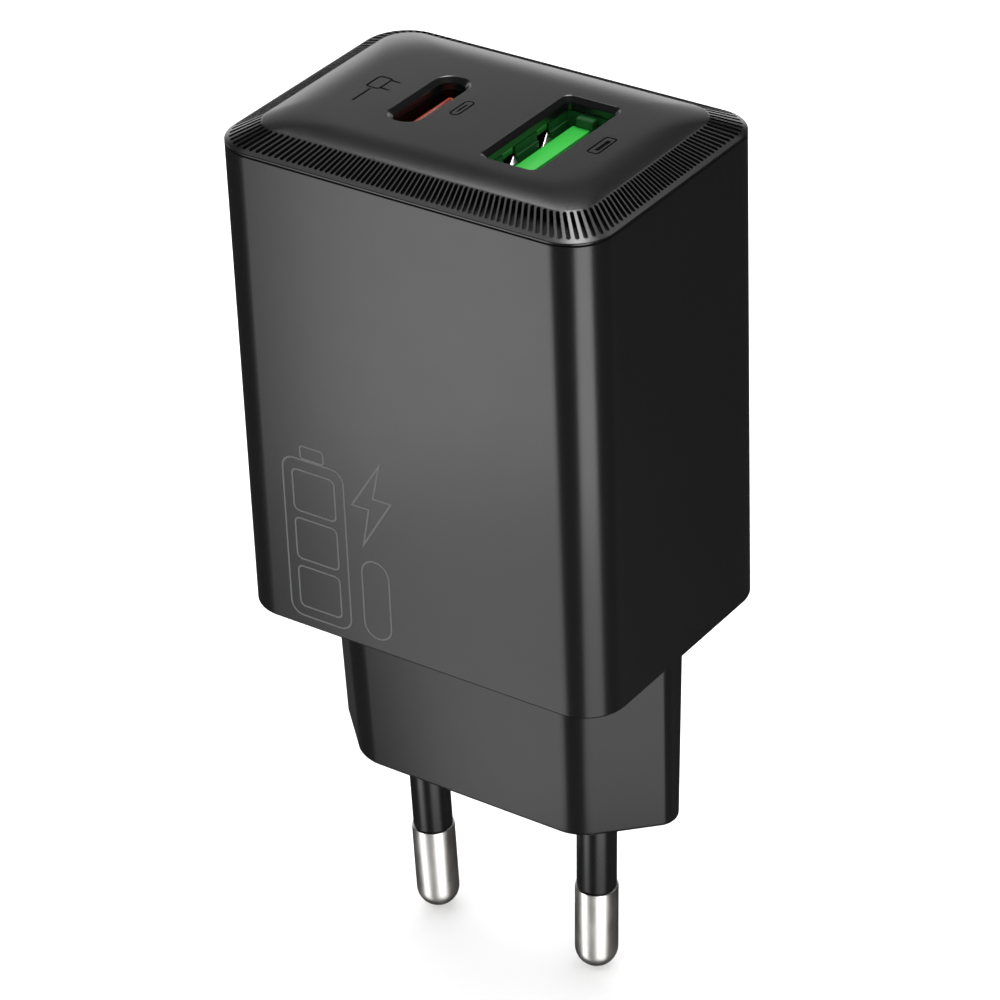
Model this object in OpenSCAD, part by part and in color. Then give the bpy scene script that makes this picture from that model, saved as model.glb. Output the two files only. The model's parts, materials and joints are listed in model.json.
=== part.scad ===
// Two-port USB wall charger with a flat two-pin Europlug, built from separate pieces.
// Millimetres, +Z up towards the ports. Origin: centre of the plug face, between the pins.
// The pins point down (-Z) and the wide front wall faces -Y.

/* [Case] */
// Width of the case
case_w = 38; // [34:0.5:48]
// Depth of the case
case_d = 27; // [25:0.5:34]
// Height of the case wall, from its underside to the cover's edge
case_h = 45.35; // [44:0.05:60]
// Radius of the case's upright edges
case_r = 4; // [3:0.5:5]
// Radius of the case's bottom edge
foot_r = 0.3; // [0.2:0.1:1.5]
// Thickness of the case walls
wall = 1.8; // [1.4:0.1:2.2]

/* [Plug] */
// Height of the plug part, from its face to the case's underside
neck_h = 18.2; // [16:0.5:22]
// Width of the plug face
neck_w = 35.3; // [33:0.1:36]
// Depth of the plug face
neck_d = 13.6; // [13:0.1:15]
// Size of the plug's corner chamfers
neck_cut = 6; // [4:0.5:6]
// Radius of the plug's upright edges beside its wide faces
neck_edge_r = 4; // [1:0.5:5]
// Radius of the plug's upright edges beside its narrow faces
neck_side_r = 1.6; // [1:0.1:1.8]
// Radius round the plug face
neck_face_r = 0.5; // [0.3:0.1:1.5]
// How much the plug part widens per side over its height
neck_draft = 0.38; // [0:0.02:0.6]
// Thickness of the plug part's walls
neck_wall = 1.6; // [1.4:0.1:2]
// Thickness of the plug face
neck_face_t = 2.2; // [2:0.1:3]

/* [Pins] */
// Distance between the pins where they leave the plug face
pin_pitch_base = 18.7; // [18:0.1:19]
// Distance between the pins at their tips
pin_pitch_tip = 17.6; // [17:0.1:18]
// Length of a pin outside the plug face
pin_len = 19; // [18.5:0.5:19]
// Diameter of the bare pin tip
pin_d = 4; // [3.9:0.02:4.1]
// Length of the bare pin tip
pin_tip_len = 9; // [8:0.5:10]
// Diameter of the pin under its sleeve
pin_core_d = 3; // [2.6:0.1:3.2]
// Diameter of the insulating sleeve
sleeve_d = 3.68; // [3.5:0.02:3.68]

/* [Cover] */
// Rise of the slotted band from its edge to the crown
band_rise = 1.3; // [1:0.1:2]
// Width of the slotted band, seen from above
band_w = 2.68; // [2.2:0.02:3.2]
// Radius of the band's inner corners
band_inner_r = 2.8; // [2:0.1:4]
// Rise of the smooth crown above the band
crown_rise = 0.4; // [0.2:0.1:1]
// Width over which the crown curves to its flat top
crown_w = 3; // [2:0.5:4]
// Thickness of the cover's top
cover_t = 1.1; // [1:0.1:1.6]
// Height of the cover's edge above the parting line
cover_edge_h = 0.25; // [0.2:0.05:0.5]
// Depth of the skirt that the cover pushes into the case
skirt_h = 2.2; // [1.5:0.1:3]
// Slots along a wide side
slots_wide = 54; // [20:1:60]
// Slots along a narrow side
slots_narrow = 34; // [12:1:40]
// Slots round a corner
slots_corner = 8; // [4:1:10]
// Width of a slot
slot_w = 0.32; // [0.2:0.02:0.36]

/* [Ports] */
// Distance of the USB-A port from the middle
usb_a_x = 6.65; // [6:0.05:8]
// Distance of the USB-C port from the middle
usb_c_x = 5.6; // [5:0.05:7]
// Depth of the port chamfers in the cover
port_bevel = 0.45; // [0.2:0.05:0.6]
// Long side of the USB-A opening
usb_a_l = 12.3; // [12.1:0.1:12.6]
// Short side of the USB-A opening
usb_a_w = 4.9; // [4.7:0.1:5.2]
// Long side of the USB-C opening
usb_c_l = 8.55; // [8.4:0.05:8.8]
// Short side of the USB-C opening
usb_c_w = 2.65; // [2.5:0.05:2.8]
// Height of the receptacles above the port board
socket_h = 11.6; // [11:0.1:13]

/* [Electronics] */
// Thickness of the circuit boards
board_t = 1.2; // [0.8:0.2:1.6]
// Distance of the main board's front from the middle
board_y = 8; // [7.6:0.1:8]
// Width of the transformer core
core_w = 17; // [14:0.5:18]
// Height of the transformer core
core_h = 15; // [13:0.5:16]
// Depth of the transformer core
core_d = 7; // [6:0.5:8]
// Diameter of the two input capacitors
bulk_d = 10; // [8:0.5:10]
// Length of the two input capacitors
bulk_l = 18; // [14:0.5:18]
// Diameter of the output capacitors
output_d = 6.3; // [5:0.1:6.3]
// Length of the output capacitors
output_l = 9; // [6:0.5:10]

/* [Fits] */
// Gap round pieces that slide into the case
slide_gap = 0.15; // [0.1:0.05:0.3]
// Gap round a sleeve in the plug face
face_gap = 0.08; // [0.06:0.01:0.12]
// Gap round a pin's shank in its holder
holder_gap = 0.05; // [0.03:0.01:0.1]
// Gap beside moving springs
spring_gap = 0.15; // [0.1:0.05:0.25]

/* [Hidden] */
$fn = 48;
HULL_FN = 32;

e = 0.01;                                   // thin slice, and overshoot of a cut
case_z = neck_h;                            // underside of the case
seam_z = case_z + case_h;                   // sharp edge of the cover
part_z = seam_z - cover_edge_h;             // parting line of case and cover
band_z = seam_z + band_rise;                // top of the slotted band
top_z = band_z + crown_rise;                // flat top
cover_under_z = top_z - cover_t;            // underside of the cover's top
in_w = case_w - 2 * wall;                   // inside of the case
in_d = case_d - 2 * wall;
in_r = case_r - wall;
floor_z = case_z + wall;
neck_inner_r = 1;                           // radius of the plug's inner corners
pin_tilt = atan((pin_pitch_base - pin_pitch_tip) / 2 / pin_len);

socket_z = cover_under_z - 0.1;             // mouths of the receptacles
port_z = socket_z - socket_h;               // top of the port board
port_under_z = port_z - board_t;
port_w = in_w - 2 * slide_gap - 0.6;
port_d = in_d - 2 * slide_gap - 0.6;

board_lo_z = floor_z + 0.6;
board_hi_z = port_under_z - 0.1;
board_back = board_y + board_t;
board_w = in_w - 2 * slide_gap;
rail_w = 0.9;                               // how far the board rails stand in
rail_t = 0.7;
tab_w = 4;
tab_x = 12;

lead_end = board_back + 0.8;                // where soldered leads end
lead_d = 0.6;

// ---------- shared shapes ----------

// Rectangle with round corners, centred
module round_rect(w, d, r) {
    union() {
        square([w - 2 * r, d], center = true);
        square([w, d - 2 * r], center = true);
        for (sx = [-1, 1], sy = [-1, 1])
            translate([sx * (w / 2 - r), sy * (d / 2 - r)]) circle(r);
    }
}

module round_box(w, d, h, r) {
    linear_extrude(h) round_rect(w, d, r);
}

// Stadium along Y, centred
module stadium(w, l) {
    union() {
        square([w, l - w], center = true);
        for (s = [-1, 1]) translate([0, s * (l - w) / 2]) circle(w / 2);
    }
}

// Thin rounded slice for hulls, inset from the case outline
module case_slice(z, inset, r) {
    translate([0, 0, z])
        linear_extrude(e)
            round_rect(case_w - 2 * inset, case_d - 2 * inset, r, $fn = HULL_FN);
}

// Corners of the plug's octagon, widened by grow and then moved in by inset all round
function octagon(grow, inset) =
    let (x = neck_w / 2 + grow - inset, y = neck_d / 2 + grow - inset,
         c = neck_cut - inset * (2 - sqrt(2)))
    [[x, y - c], [x - c, y], [c - x, y], [-x, y - c],
     [-x, c - y], [c - x, -y], [x - c, -y], [x, c - y]];

// Thin slice of the plug, its corners rounded by r beside the wide faces and side_r beside the narrow ones
module neck_slice(z, grow, inset, r, side_r) {
    p = octagon(grow, inset);
    translate([0, 0, z])
        for (i = [0 : 7]) {
            a = 22.5 + 45 * i;
            ri = i % 4 == 0 || i % 4 == 3 ? side_r : r;
            translate(p[i] - ri / cos(22.5) * [cos(a), sin(a)])
                cylinder(h = e, r = ri, $fn = HULL_FN);
        }
}

// Cylinder with its axis along Y, from y0 to y1
module rod_y(x, z, r, y0, y1) {
    translate([x, y0, z]) rotate([-90, 0, 0]) cylinder(h = y1 - y0, r = r);
}

module box(x0, x1, y0, y1, z0, z1) {
    translate([x0, y0, z0]) cube([x1 - x0, y1 - y0, z1 - z0]);
}

// A pin's own frame: +Z along the pin, back into the plug, 0 at the plug face
module at_pin(side) {
    translate([side * pin_pitch_base / 2, 0, 0])
        rotate([0, side * pin_tilt, 0])
            children();
}

// ---------- case and cover ----------

module case_body() {
    color([0.10, 0.10, 0.11])
    difference() {
        union() {
            hull() {
                case_slice(case_z, foot_r, case_r - foot_r);
                case_slice(case_z + foot_r * (1 - cos(45)), foot_r * (1 - sin(45)),
                           case_r - foot_r * (1 - sin(45)));
                case_slice(case_z + foot_r, 0, case_r);
                case_slice(part_z - e, 0, case_r);
            }
            hull() {
                neck_slice(0, 0, neck_face_r, neck_edge_r - neck_face_r, neck_side_r - neck_face_r);
                neck_slice(neck_face_r * (1 - cos(45)), 0, neck_face_r * (1 - sin(45)),
                           neck_edge_r - 0.2, neck_side_r - 0.2);
                neck_slice(neck_face_r, 0, 0, neck_edge_r, neck_side_r);
                neck_slice(case_z + foot_r, neck_draft, 0, neck_edge_r, neck_side_r);
            }
        }
        difference() {
            translate([0, 0, floor_z]) round_box(in_w, in_d, case_h, in_r);
            board_rails();
        }
        hull() {
            neck_slice(neck_face_t, 0, neck_wall, neck_inner_r, neck_inner_r);
            neck_slice(floor_z + e, neck_draft, neck_wall, neck_inner_r, neck_inner_r);
        }
        for (side = [-1, 1])
            at_pin(side) translate([0, 0, -3])
                cylinder(h = 9, d = sleeve_d + 2 * face_gap);
    }
}

// Upright rails that hold the main board and carry the port board
module board_rails() {
    for (mirrored = [0, 1], y = [board_y - 0.1 - rail_t, board_back + 0.1, -7])
        mirror([mirrored, 0, 0])
            box(in_w / 2 - rail_w, in_w / 2 + 1, y, y + rail_t, floor_z - 1, port_under_z);
}

// Height of the crown above the band at t of its width, 0 at the band, 1 at the flat top
function crown_at(t) = crown_rise * (1 - pow(1 - t, 2.5));

// The slotted band's slots stand where a smooth rule spaces them, closer mid-side
function spread(t) = 0.888 * t + 0.112 * t * t * t;

// One slot, cut from an outer point to an inner point of the band
module slot(outer, inner) {
    run = norm(inner - outer);
    heading = atan2(inner[1] - outer[1], inner[0] - outer[0]);
    low = seam_z + 0.02;
    high = band_z - 0.42;
    slope = atan((high - low) / run);
    translate([outer[0], outer[1], low])
        rotate([0, -slope, heading])
            translate([0, -slot_w / 2, 0])
                cube([run / cos(slope), slot_w, 2]);
}

// A row of slots along a side of half length a outside and b inside, on the +Y side
module slot_row(count, half_out, y_out, half_in, y_in) {
    for (i = [0 : count - 1]) {
        t = spread((2 * i + 1) / count - 1);
        slot([half_out * t, y_out], [half_in * t, y_in]);
    }
}

module cover_slots() {
    rim = 0.4;                              // plain rim outside the slots
    ix = case_w / 2 - band_w;               // inner outline
    iy = case_d / 2 - band_w;
    for (half = [0, 180]) rotate([0, 0, half]) {
        slot_row(slots_wide, case_w / 2 - case_r, case_d / 2 - rim, ix - band_inner_r, iy);
        rotate([0, 0, 90])
            slot_row(slots_narrow, case_d / 2 - case_r, case_w / 2 - rim, iy - band_inner_r, ix);
        for (mirrored = [0, 1]) mirror([mirrored, 0, 0])
            for (i = [0 : slots_corner - 1]) {
                a = 90 * (i + 0.5) / slots_corner;
                slot([case_w / 2 - case_r + (case_r - rim) * cos(a),
                      case_d / 2 - case_r + (case_r - rim) * sin(a)],
                     [ix - band_inner_r + band_inner_r * cos(a),
                      iy - band_inner_r + band_inner_r * sin(a)]);
            }
    }
}

// Tapered mouth round a port opening
module port_mouth_a() {
    hull() {
        translate([0, 0, top_z - port_bevel])
            linear_extrude(e) round_rect(usb_a_w, usb_a_l, 0.5, $fn = 24);
        translate([0, 0, top_z])
            linear_extrude(0.2) round_rect(usb_a_w + 2 * port_bevel, usb_a_l + 2 * port_bevel,
                                           0.5 + port_bevel, $fn = 24);
    }
}

module port_mouth_c() {
    hull() {
        translate([0, 0, top_z - port_bevel])
            linear_extrude(e) stadium(usb_c_w, usb_c_l, $fn = HULL_FN);
        translate([0, 0, top_z])
            linear_extrude(0.2) stadium(usb_c_w + 2 * port_bevel, usb_c_l + 2 * port_bevel,
                                        $fn = HULL_FN);
    }
}

module top_cover() {
    skirt_w = in_w - 2 * slide_gap;
    skirt_d = in_d - 2 * slide_gap;
    color([0.13, 0.13, 0.14])
    difference() {
        union() {
            difference() {
                hull() {
                    case_slice(part_z, 0, case_r);
                    case_slice(seam_z - e, 0, case_r);
                    case_slice(band_z, band_w, band_inner_r);
                    for (t = [0.2, 0.45, 0.7])
                        case_slice(band_z + crown_at(t) - e, band_w + crown_w * t,
                                   band_inner_r + crown_w * t * 0.5);
                    case_slice(top_z - e, band_w + crown_w, band_inner_r + crown_w * 0.5);
                }
                cover_slots();
            }
            translate([0, 0, part_z - skirt_h])
                round_box(skirt_w, skirt_d, skirt_h + e, in_r - slide_gap);
        }
        translate([0, 0, part_z - skirt_h - 1])
            round_box(skirt_w - 2, skirt_d - 2, cover_under_z - part_z + skirt_h + 1, in_r - 1);
        translate([usb_a_x, 0, 0]) {
            port_mouth_a();
            translate([0, 0, cover_under_z - 1]) round_box(usb_a_w, usb_a_l, 5, 0.5);
        }
        translate([-usb_c_x, 0, 0]) {
            port_mouth_c();
            translate([0, 0, cover_under_z - 1]) linear_extrude(5) stadium(usb_c_w, usb_c_l);
        }
    }
    color([0.13, 0.13, 0.14])
    for (sx = [-1, 1], sy = [-1, 1])        // posts that hold the port board down
        translate([sx * (port_w / 2 - 1.6), sy * (port_d / 2 - 1.6), port_z + 0.05])
            cylinder(h = cover_under_z - port_z + 0.3, d = 1.8);
}

// ---------- pins ----------

flange_d = 5.2;                             // collar that the holder presses on the plug face
flange_t = 0.8;
flange_lo = neck_face_t + 0.5;
holder_h = 7;
pin_head = neck_face_t + holder_h + 2.8;    // top of the shank, inside the plug
rivet_d = 2;                                // spigot that the contact strip is riveted to

module pin(side) {
    color([0.80, 0.80, 0.82])
    at_pin(side) union() {
        translate([0, 0, pin_d / 2 - pin_len]) sphere(d = pin_d);
        translate([0, 0, pin_d / 2 - pin_len])
            cylinder(h = pin_tip_len - pin_d / 2, d = pin_d);
        translate([0, 0, pin_tip_len - pin_len - 0.5])
            cylinder(h = pin_len - pin_tip_len + pin_head + 0.5, d = pin_core_d);
        translate([0, 0, flange_lo]) cylinder(h = flange_t, d = flange_d);
        translate([0, 0, pin_head - 0.1]) cylinder(h = 1.8, d = rivet_d);
    }
}

module sleeve(side) {
    color([0.06, 0.06, 0.07])
    at_pin(side) difference() {
        translate([0, 0, pin_tip_len - pin_len])
            cylinder(h = pin_len - pin_tip_len + neck_face_t + 0.4, d = sleeve_d);
        translate([0, 0, -pin_len])
            cylinder(h = pin_len + neck_face_t + 1, d = pin_core_d);
    }
}

module pin_left() { pin(-1); }
module pin_right() { pin(1); }
module sleeve_left() { sleeve(-1); }
module sleeve_right() { sleeve(1); }

// Block that locks the pins' flanges against the inside of the plug face
module pin_holder() {
    lo = neck_face_t + 0.1;
    color([0.75, 0.74, 0.70])
    difference() {
        union() {
            translate([0, 0, lo]) linear_extrude(holder_h) polygon(octagon(0, neck_wall + 0.3));
            translate([0, 0, lo + holder_h - e]) round_box(8, 6, 2.2, 1);
        }
        for (side = [-1, 1]) at_pin(side) {
            cylinder(h = lo + holder_h + 4, d = pin_core_d + 2 * holder_gap);
            cylinder(h = flange_lo + flange_t + 0.1, d = flange_d + 0.2);
        }
        translate([0, 0, lo - 1]) cylinder(h = 20, d = 2.4);
    }
}

// Sprung strip from a pin's head to the foot of the main board
module pin_contact(side) {
    ring_z = pin_head + 0.1;
    x0 = side * (pin_pitch_base / 2 + ring_z * tan(pin_tilt));
    strip = 0.4;
    riser_y = neck_d / 2 - neck_wall - 0.7;
    foot_z = board_lo_z - 0.05;
    color([0.78, 0.62, 0.35])
    union() {
        at_pin(side) difference() {
            translate([0, 0, ring_z]) cylinder(h = strip, d = 5);
            translate([0, 0, ring_z - 1]) cylinder(h = 3, d = rivet_d);
        }
        box(x0 - 1.2, x0 + 1.2, 2, riser_y, ring_z, ring_z + strip);
        box(x0 - 1.2, x0 + 1.2, riser_y - strip, riser_y, ring_z, foot_z);
        box(x0 - 1.2, x0 + 1.2, riser_y - strip, board_back, foot_z - strip, foot_z);
    }
}

module pin_contact_left() { pin_contact(-1); }
module pin_contact_right() { pin_contact(1); }

// ---------- boards ----------

module board_color() { color([0.10, 0.32, 0.20]) children(); }

module main_board() {
    board_color() difference() {
        union() {
            box(-board_w / 2, board_w / 2, board_y, board_back, board_lo_z, board_hi_z);
            for (s = [-1, 1])
                box(s * tab_x - tab_w / 2, s * tab_x + tab_w / 2, board_y, board_back,
                    board_hi_z - 1, port_z + 0.3);
        }
        main_board_holes();
    }
}

// Holes in the main board for every soldered lead
module main_board_holes() {
    for (p = lead_points())
        rod_y(p[0], p[1], lead_d / 2 + 0.1, board_y - 1, board_back + 1);
}

bulk_x = -in_w / 2 + rail_w + 0.2 + bulk_d / 2;
bulk_hi_z = port_under_z - 1.7 - bulk_d / 2;
bulk_lo_z = bulk_hi_z - bulk_d - 0.4;
core_x = bulk_x + bulk_d / 2 + 4.2 + core_w / 2;
core_z = port_under_z - 3.4 - core_h / 2;
core_y = 0.3;
choke_x = bulk_x + 0.4;
choke_z = floor_z + 4.4;
film_x = choke_x + 12.8;
film_z = floor_z + 3.6;
fuse_x = film_x + 10.5;
disc_x = bulk_x + bulk_d / 2 + 2.1;
disc_z = core_z - 1;
coil_r = core_w / 2 - 2.4;                  // inside of the core's outer legs
gan_x = choke_x + 6.7;
gan_z = bulk_lo_z - 3.3;

function lead_points() = concat(
    [for (s = [-1, 1]) [bulk_x + s * 2.5, bulk_hi_z]],
    [for (s = [-1, 1]) [bulk_x + s * 2.5, bulk_lo_z]],
    [for (s = [-1, 1]) [disc_x, disc_z + s * 2.5]],
    [for (s = [-1, 1]) [film_x + s * 5, film_z]],
    [for (s = [-1, 1]) [fuse_x + s * 2.5, film_z]],
    [for (sx = [-1, 1], sz = [-1, 1]) [choke_x + sx * 2.2, choke_z + sz * 2.2]],
    [for (sx = [-1, -0.33, 0.33, 1], sz = [-1, 1])
        [core_x + sx * 5.4, core_z + sz * (core_h / 2 - 2.8)]]
);

module port_board() {
    board_color() difference() {
        translate([0, 0, port_under_z]) round_box(port_w, port_d, board_t, 1.8);
        for (s = [-1, 1])
            box(s * tab_x - tab_w / 2 - 0.1, s * tab_x + tab_w / 2 + 0.1,
                board_y - 0.1, board_back + 0.1, port_under_z - 1, port_z + 1);
        for (p = concat(usb_a_leg_points(), usb_c_leg_points(), usb_a_peg_points()))
            translate([p[0], p[1], port_under_z - 1]) cylinder(h = board_t + 2, d = 1.1);
    }
}

module insulation_sheet() {
    color([0.93, 0.90, 0.78])
        box(rail_w + 0.2 - in_w / 2, in_w / 2 - rail_w - 0.2, -port_d / 2, board_y - 0.3,
            port_under_z - 1.4, port_under_z - 1.1);
}

// ---------- transformer ----------

core_leg_r = min(3.2, coil_r - 2.85);       // leaves room for the windings and their tape
core_back_t = 2.6;

// One E-shaped half of the core: back, two side legs and half of the round middle leg
module core_half(up) {
    z_join = core_z + up * 0.03;
    color([0.22, 0.22, 0.23])
    translate([core_x, core_y, z_join]) mirror([0, 0, up > 0 ? 0 : 1]) union() {
        box(-core_w / 2, core_w / 2, -core_d / 2, core_d / 2, core_h / 2 - core_back_t, core_h / 2);
        for (s = [-1, 1])
            box(s > 0 ? coil_r : -core_w / 2, s > 0 ? core_w / 2 : -coil_r,
                -core_d / 2, core_d / 2, 0, core_h / 2 - core_back_t + e);
        cylinder(h = core_h / 2 - core_back_t + e, r = core_leg_r);
    }
}

module transformer_core_lower() { core_half(-1); }
module transformer_core_upper() { core_half(1); }

bobbin_r = core_leg_r + 0.65;
tape_r = bobbin_r + 1.72;
wire_d = 0.7;
flange_z = core_h / 2 - core_back_t - 0.1;
rail_y = board_y - 0.1;

module transformer_bobbin() {
    color([0.09, 0.09, 0.10])
    difference() {
        union() {
            translate([core_x, core_y, core_z - flange_z]) cylinder(h = 2 * flange_z, r = bobbin_r);
            for (s = [-1, 1]) {
                z0 = core_z + s * flange_z - (s > 0 ? 0.6 : 0);
                translate([core_x, core_y, z0]) cylinder(h = 0.6, r = coil_r - 0.15);
                box(core_x - coil_r + 0.2, core_x + coil_r - 0.2, core_y + core_d / 2 + 0.3,
                    rail_y, z0, z0 + 0.6);
                box(core_x - coil_r + 0.2, core_x + coil_r - 0.2, core_y + tape_r + 0.15,
                    rail_y, z0 - (s > 0 ? 1.4 : 0), z0 + (s > 0 ? 0.6 : 2));
            }
            for (sx = [-1, -0.33, 0.33, 1], sz = [-1, 1])
                rod_y(core_x + sx * 5.4, core_z + sz * (core_h / 2 - 2.8) , lead_d / 2,
                      rail_y - 1, lead_end);
        }
        translate([core_x, core_y, core_z - core_h]) cylinder(h = 2 * core_h, r = core_leg_r + 0.05);
    }
}

// A layer of turns round the bobbin, its surface ribbed like wound wire
module winding(r0, r1, half_h) {
    turns = floor(2 * half_h / wire_d);
    step = 2 * half_h / turns;
    translate([core_x, core_y, core_z - half_h])
        rotate_extrude()
            union() {
                translate([r0, 0]) square([r1 - r0 - step / 2, 2 * half_h]);
                for (i = [0 : turns - 1])
                    translate([r1 - 0.53 * step, (i + 0.5) * step]) circle(0.53 * step);
            }
}

module primary_winding() {
    color([0.72, 0.36, 0.16]) winding(bobbin_r + 0.03, bobbin_r + 0.8, flange_z - 0.7);
}

module secondary_winding() {
    color([0.90, 0.78, 0.30]) winding(bobbin_r + 0.84, bobbin_r + 1.6, flange_z - 0.9);
}

module transformer_tape() {
    color([0.92, 0.80, 0.20])
    translate([core_x, core_y, core_z - flange_z + 1.2])
        difference() {
            cylinder(h = 2 * flange_z - 2.4, r = tape_r);
            translate([0, 0, -1]) cylinder(h = 2 * flange_z, r = tape_r - 0.09);
        }
}

// ---------- mains side ----------

module choke_core() {
    color([0.20, 0.21, 0.20])
    translate([choke_x, board_y - 3.4, choke_z]) rotate([90, 0, 0])
        difference() {
            cylinder(h = 3.4, r = 3.6, center = true);
            cylinder(h = 6, r = 1.9, center = true);
        }
}

// Two wound halves: rings of wire turns either side, and four leads into the board
module choke_windings() {
    color([0.75, 0.38, 0.16]) {
        for (half = [0, 180], a = [-56 : 16 : 56])
            translate([choke_x, board_y - 3.4, choke_z])
                rotate([90, half + a, 0])
                    translate([2.75, 0, 0])
                        difference() {
                            cube([2.9, 0.6, 4.6], center = true);
                            cube([1.76, 2, 3.46], center = true);
                        }
        for (sx = [-1, 1], sz = [-1, 1])
            rod_y(choke_x + sx * 2.2, choke_z + sz * 2.2, lead_d / 2, board_y - 1.05, lead_end);
    }
}

module x_capacitor() {
    color([0.92, 0.75, 0.15]) union() {
        box(film_x - 6.3, film_x + 6.3, -2.5, board_y - 0.3, film_z - 2.6, film_z + 2.6);
        for (s = [-1, 1]) rod_y(film_x + s * 5, film_z, lead_d / 2, board_y - 1, lead_end);
    }
}

module y_capacitor() {
    color([0.15, 0.40, 0.75]) union() {
        translate([disc_x - 1.4, 3.6, disc_z]) rotate([0, 90, 0]) cylinder(h = 2.8, r = 3.6);
        for (s = [-1, 1]) rod_y(disc_x, disc_z + s * 2.5, lead_d / 2, 4, lead_end);
    }
}

// Electrolytic capacitor with its axis along Y and its leads in the board
module bulk_capacitor(z) {
    y1 = board_y - 0.6;
    color([0.16, 0.20, 0.32]) union() {
        rod_y(bulk_x, z, bulk_d / 2, y1 - bulk_l, y1 - 2.4);
        rod_y(bulk_x, z, bulk_d / 2 - 0.5, y1 - 2.5, y1 - 1.6);
        rod_y(bulk_x, z, bulk_d / 2, y1 - 1.7, y1);
        for (s = [-1, 1]) rod_y(bulk_x + s * 2.5, z, lead_d / 2, y1 - 0.5, lead_end);
    }
}

module bulk_capacitor_upper() { bulk_capacitor(bulk_hi_z); }
module bulk_capacitor_lower() { bulk_capacitor(bulk_lo_z); }

module fuse() {
    color([0.12, 0.12, 0.13]) union() {
        box(fuse_x - 3.5, fuse_x + 3.5, board_y - 7.6, board_y - 0.2, film_z - 2, film_z + 2);
        for (s = [-1, 1]) rod_y(fuse_x + s * 2.5, film_z, lead_d / 2, board_y - 1, lead_end);
    }
}

// Chip on the back of the main board with legs on two sides
module back_chip(x, z, w, h, t, legs) {
    union() {
        box(x - w / 2, x + w / 2, board_back + 0.1, board_back + 0.1 + t, z - h / 2, z + h / 2);
        for (s = [-1, 1], i = [0 : legs - 1]) {
            zi = z + (i - (legs - 1) / 2) * h * 0.8 / max(legs - 1, 1);
            box(min(x + s * (w / 2 - 0.1), x + s * (w / 2 + 0.7)),
                max(x + s * (w / 2 - 0.1), x + s * (w / 2 + 0.7)),
                board_back + 0.02, board_back + 0.22, zi - 0.2, zi + 0.2);
        }
    }
}

module bridge_rectifier() {
    color([0.11, 0.11, 0.12]) back_chip(choke_x, bulk_lo_z - 3, 4.2, 4.4, 1.5, 2);
}

module gan_controller() {
    color([0.11, 0.11, 0.12]) back_chip(gan_x, gan_z, 6, 6, 0.9, 8);
}

module rectifier_chip() {
    color([0.11, 0.11, 0.12]) back_chip(core_x + 2, core_z, 5, 6, 0.9, 8);
}

module optocoupler() {
    color([0.11, 0.11, 0.12]) back_chip(film_x - 1, film_z + 1, 4.4, 3.8, 1.8, 2);
}

module thermal_pad() {
    color([0.62, 0.66, 0.72])
        box(gan_x - 3.4, core_x + 6, board_back + 1.05, board_back + 1.75, gan_z - 2.6, core_z + 3);
}

module heat_plate() {
    color([0.80, 0.80, 0.82])
        box(gan_x - 4, core_x + 7, board_back + 1.8, board_back + 2.25, gan_z - 3, core_z + 4);
}

// ---------- output side, on the port board ----------

// Polymer capacitor can standing on the port board, with a grooved foot
module output_capacitor(y) {
    x = (usb_a_x - usb_c_x) / 2 - 0.7;
    color([0.82, 0.82, 0.84]) translate([x, y, port_z + 0.05]) union() {
        translate([0, 0, 0]) round_box(output_d + 0.3, output_d + 0.3, 0.7, 1);
        translate([0, 0, 0.6]) cylinder(h = 1, r = output_d / 2);
        translate([0, 0, 1.5]) cylinder(h = 0.7, r = output_d / 2 - 0.35);
        translate([0, 0, 2.1]) cylinder(h = output_l - 2.1, r = output_d / 2);
    }
}

module output_capacitor_front() { output_capacitor(-output_d / 2 - 0.7); }
module output_capacitor_rear() { output_capacitor(output_d / 2 + 0.7); }

module output_inductor() {
    color([0.30, 0.30, 0.31])
    translate([-port_w / 2 + 4.5, -4.4, port_z + 0.05]) union() {
        round_box(6.6, 6.6, 2.9, 0.7);
        for (s = [-1, 1]) translate([s * 3.2, 0, 0]) linear_extrude(1.2) square([0.7, 3], center = true);
    }
}

module protocol_chip() {
    color([0.11, 0.11, 0.12]) translate([-port_w / 2 + 4.5, 3.4, port_z + 0.05])
        round_box(4, 4, 0.8, 0.2);
}

// Small chip resistors and capacitors on the two boards, a group of separate solids
module chip_passives() {
    color([0.62, 0.50, 0.36]) {
        for (i = [0 : 3], j = [0 : 1])
            translate([1.9 * i - port_w / 2 + 4.2, 1.3 * j - port_d / 2 + 1.4, port_z + 0.05])
                linear_extrude(0.55) square([1.2, 0.7], center = true);
        for (i = [0 : 5])
            box(-12.4 + 4.3 * i - 0.8, -12.4 + 4.3 * i + 0.8, board_back + 0.05, board_back + 0.6,
                port_under_z - 4.4, port_under_z - 3.6);
    }
}

// ---------- USB-A receptacle ----------

liner_t = 0.3;
shell_t = 0.3;
a_in_w = usb_a_w - 0.1 + 2 * liner_t;       // inside of the metal shell
a_in_l = usb_a_l + 2 * liner_t;
a_base_h = 2.5;                             // plastic base inside the shell
tongue_w = 1.8;
tongue_l = 11.1;
tongue_x0 = usb_a_x - 1.65;                 // tongue sits off the middle
tongue_top_z = socket_z - 1;
beam_y = [-3.5, -1, 1, 3.5];
beam_w = 1;
beam_t = 0.25;
beam_x = tongue_x0 + tongue_w + 0.12;
beam_lo_z = port_z + a_base_h + 0.3;
beam_hi_z = tongue_top_z - 1.2;
groove_x = tongue_x0 + tongue_w - 0.62;
grip_y = [-2.5, 2.5];
grip_w = 1.5;
grip_lo_z = port_z + 4;
grip_hi_z = socket_z - 0.9;

function usb_a_leg_points() = [for (y = beam_y) [beam_x + beam_t / 2, y]];
function usb_a_peg_points() = [for (s = [-1, 1], y = [-1, 1]) [usb_a_x + s * (a_in_w + shell_t) / 2, y * 4.9]];

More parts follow.
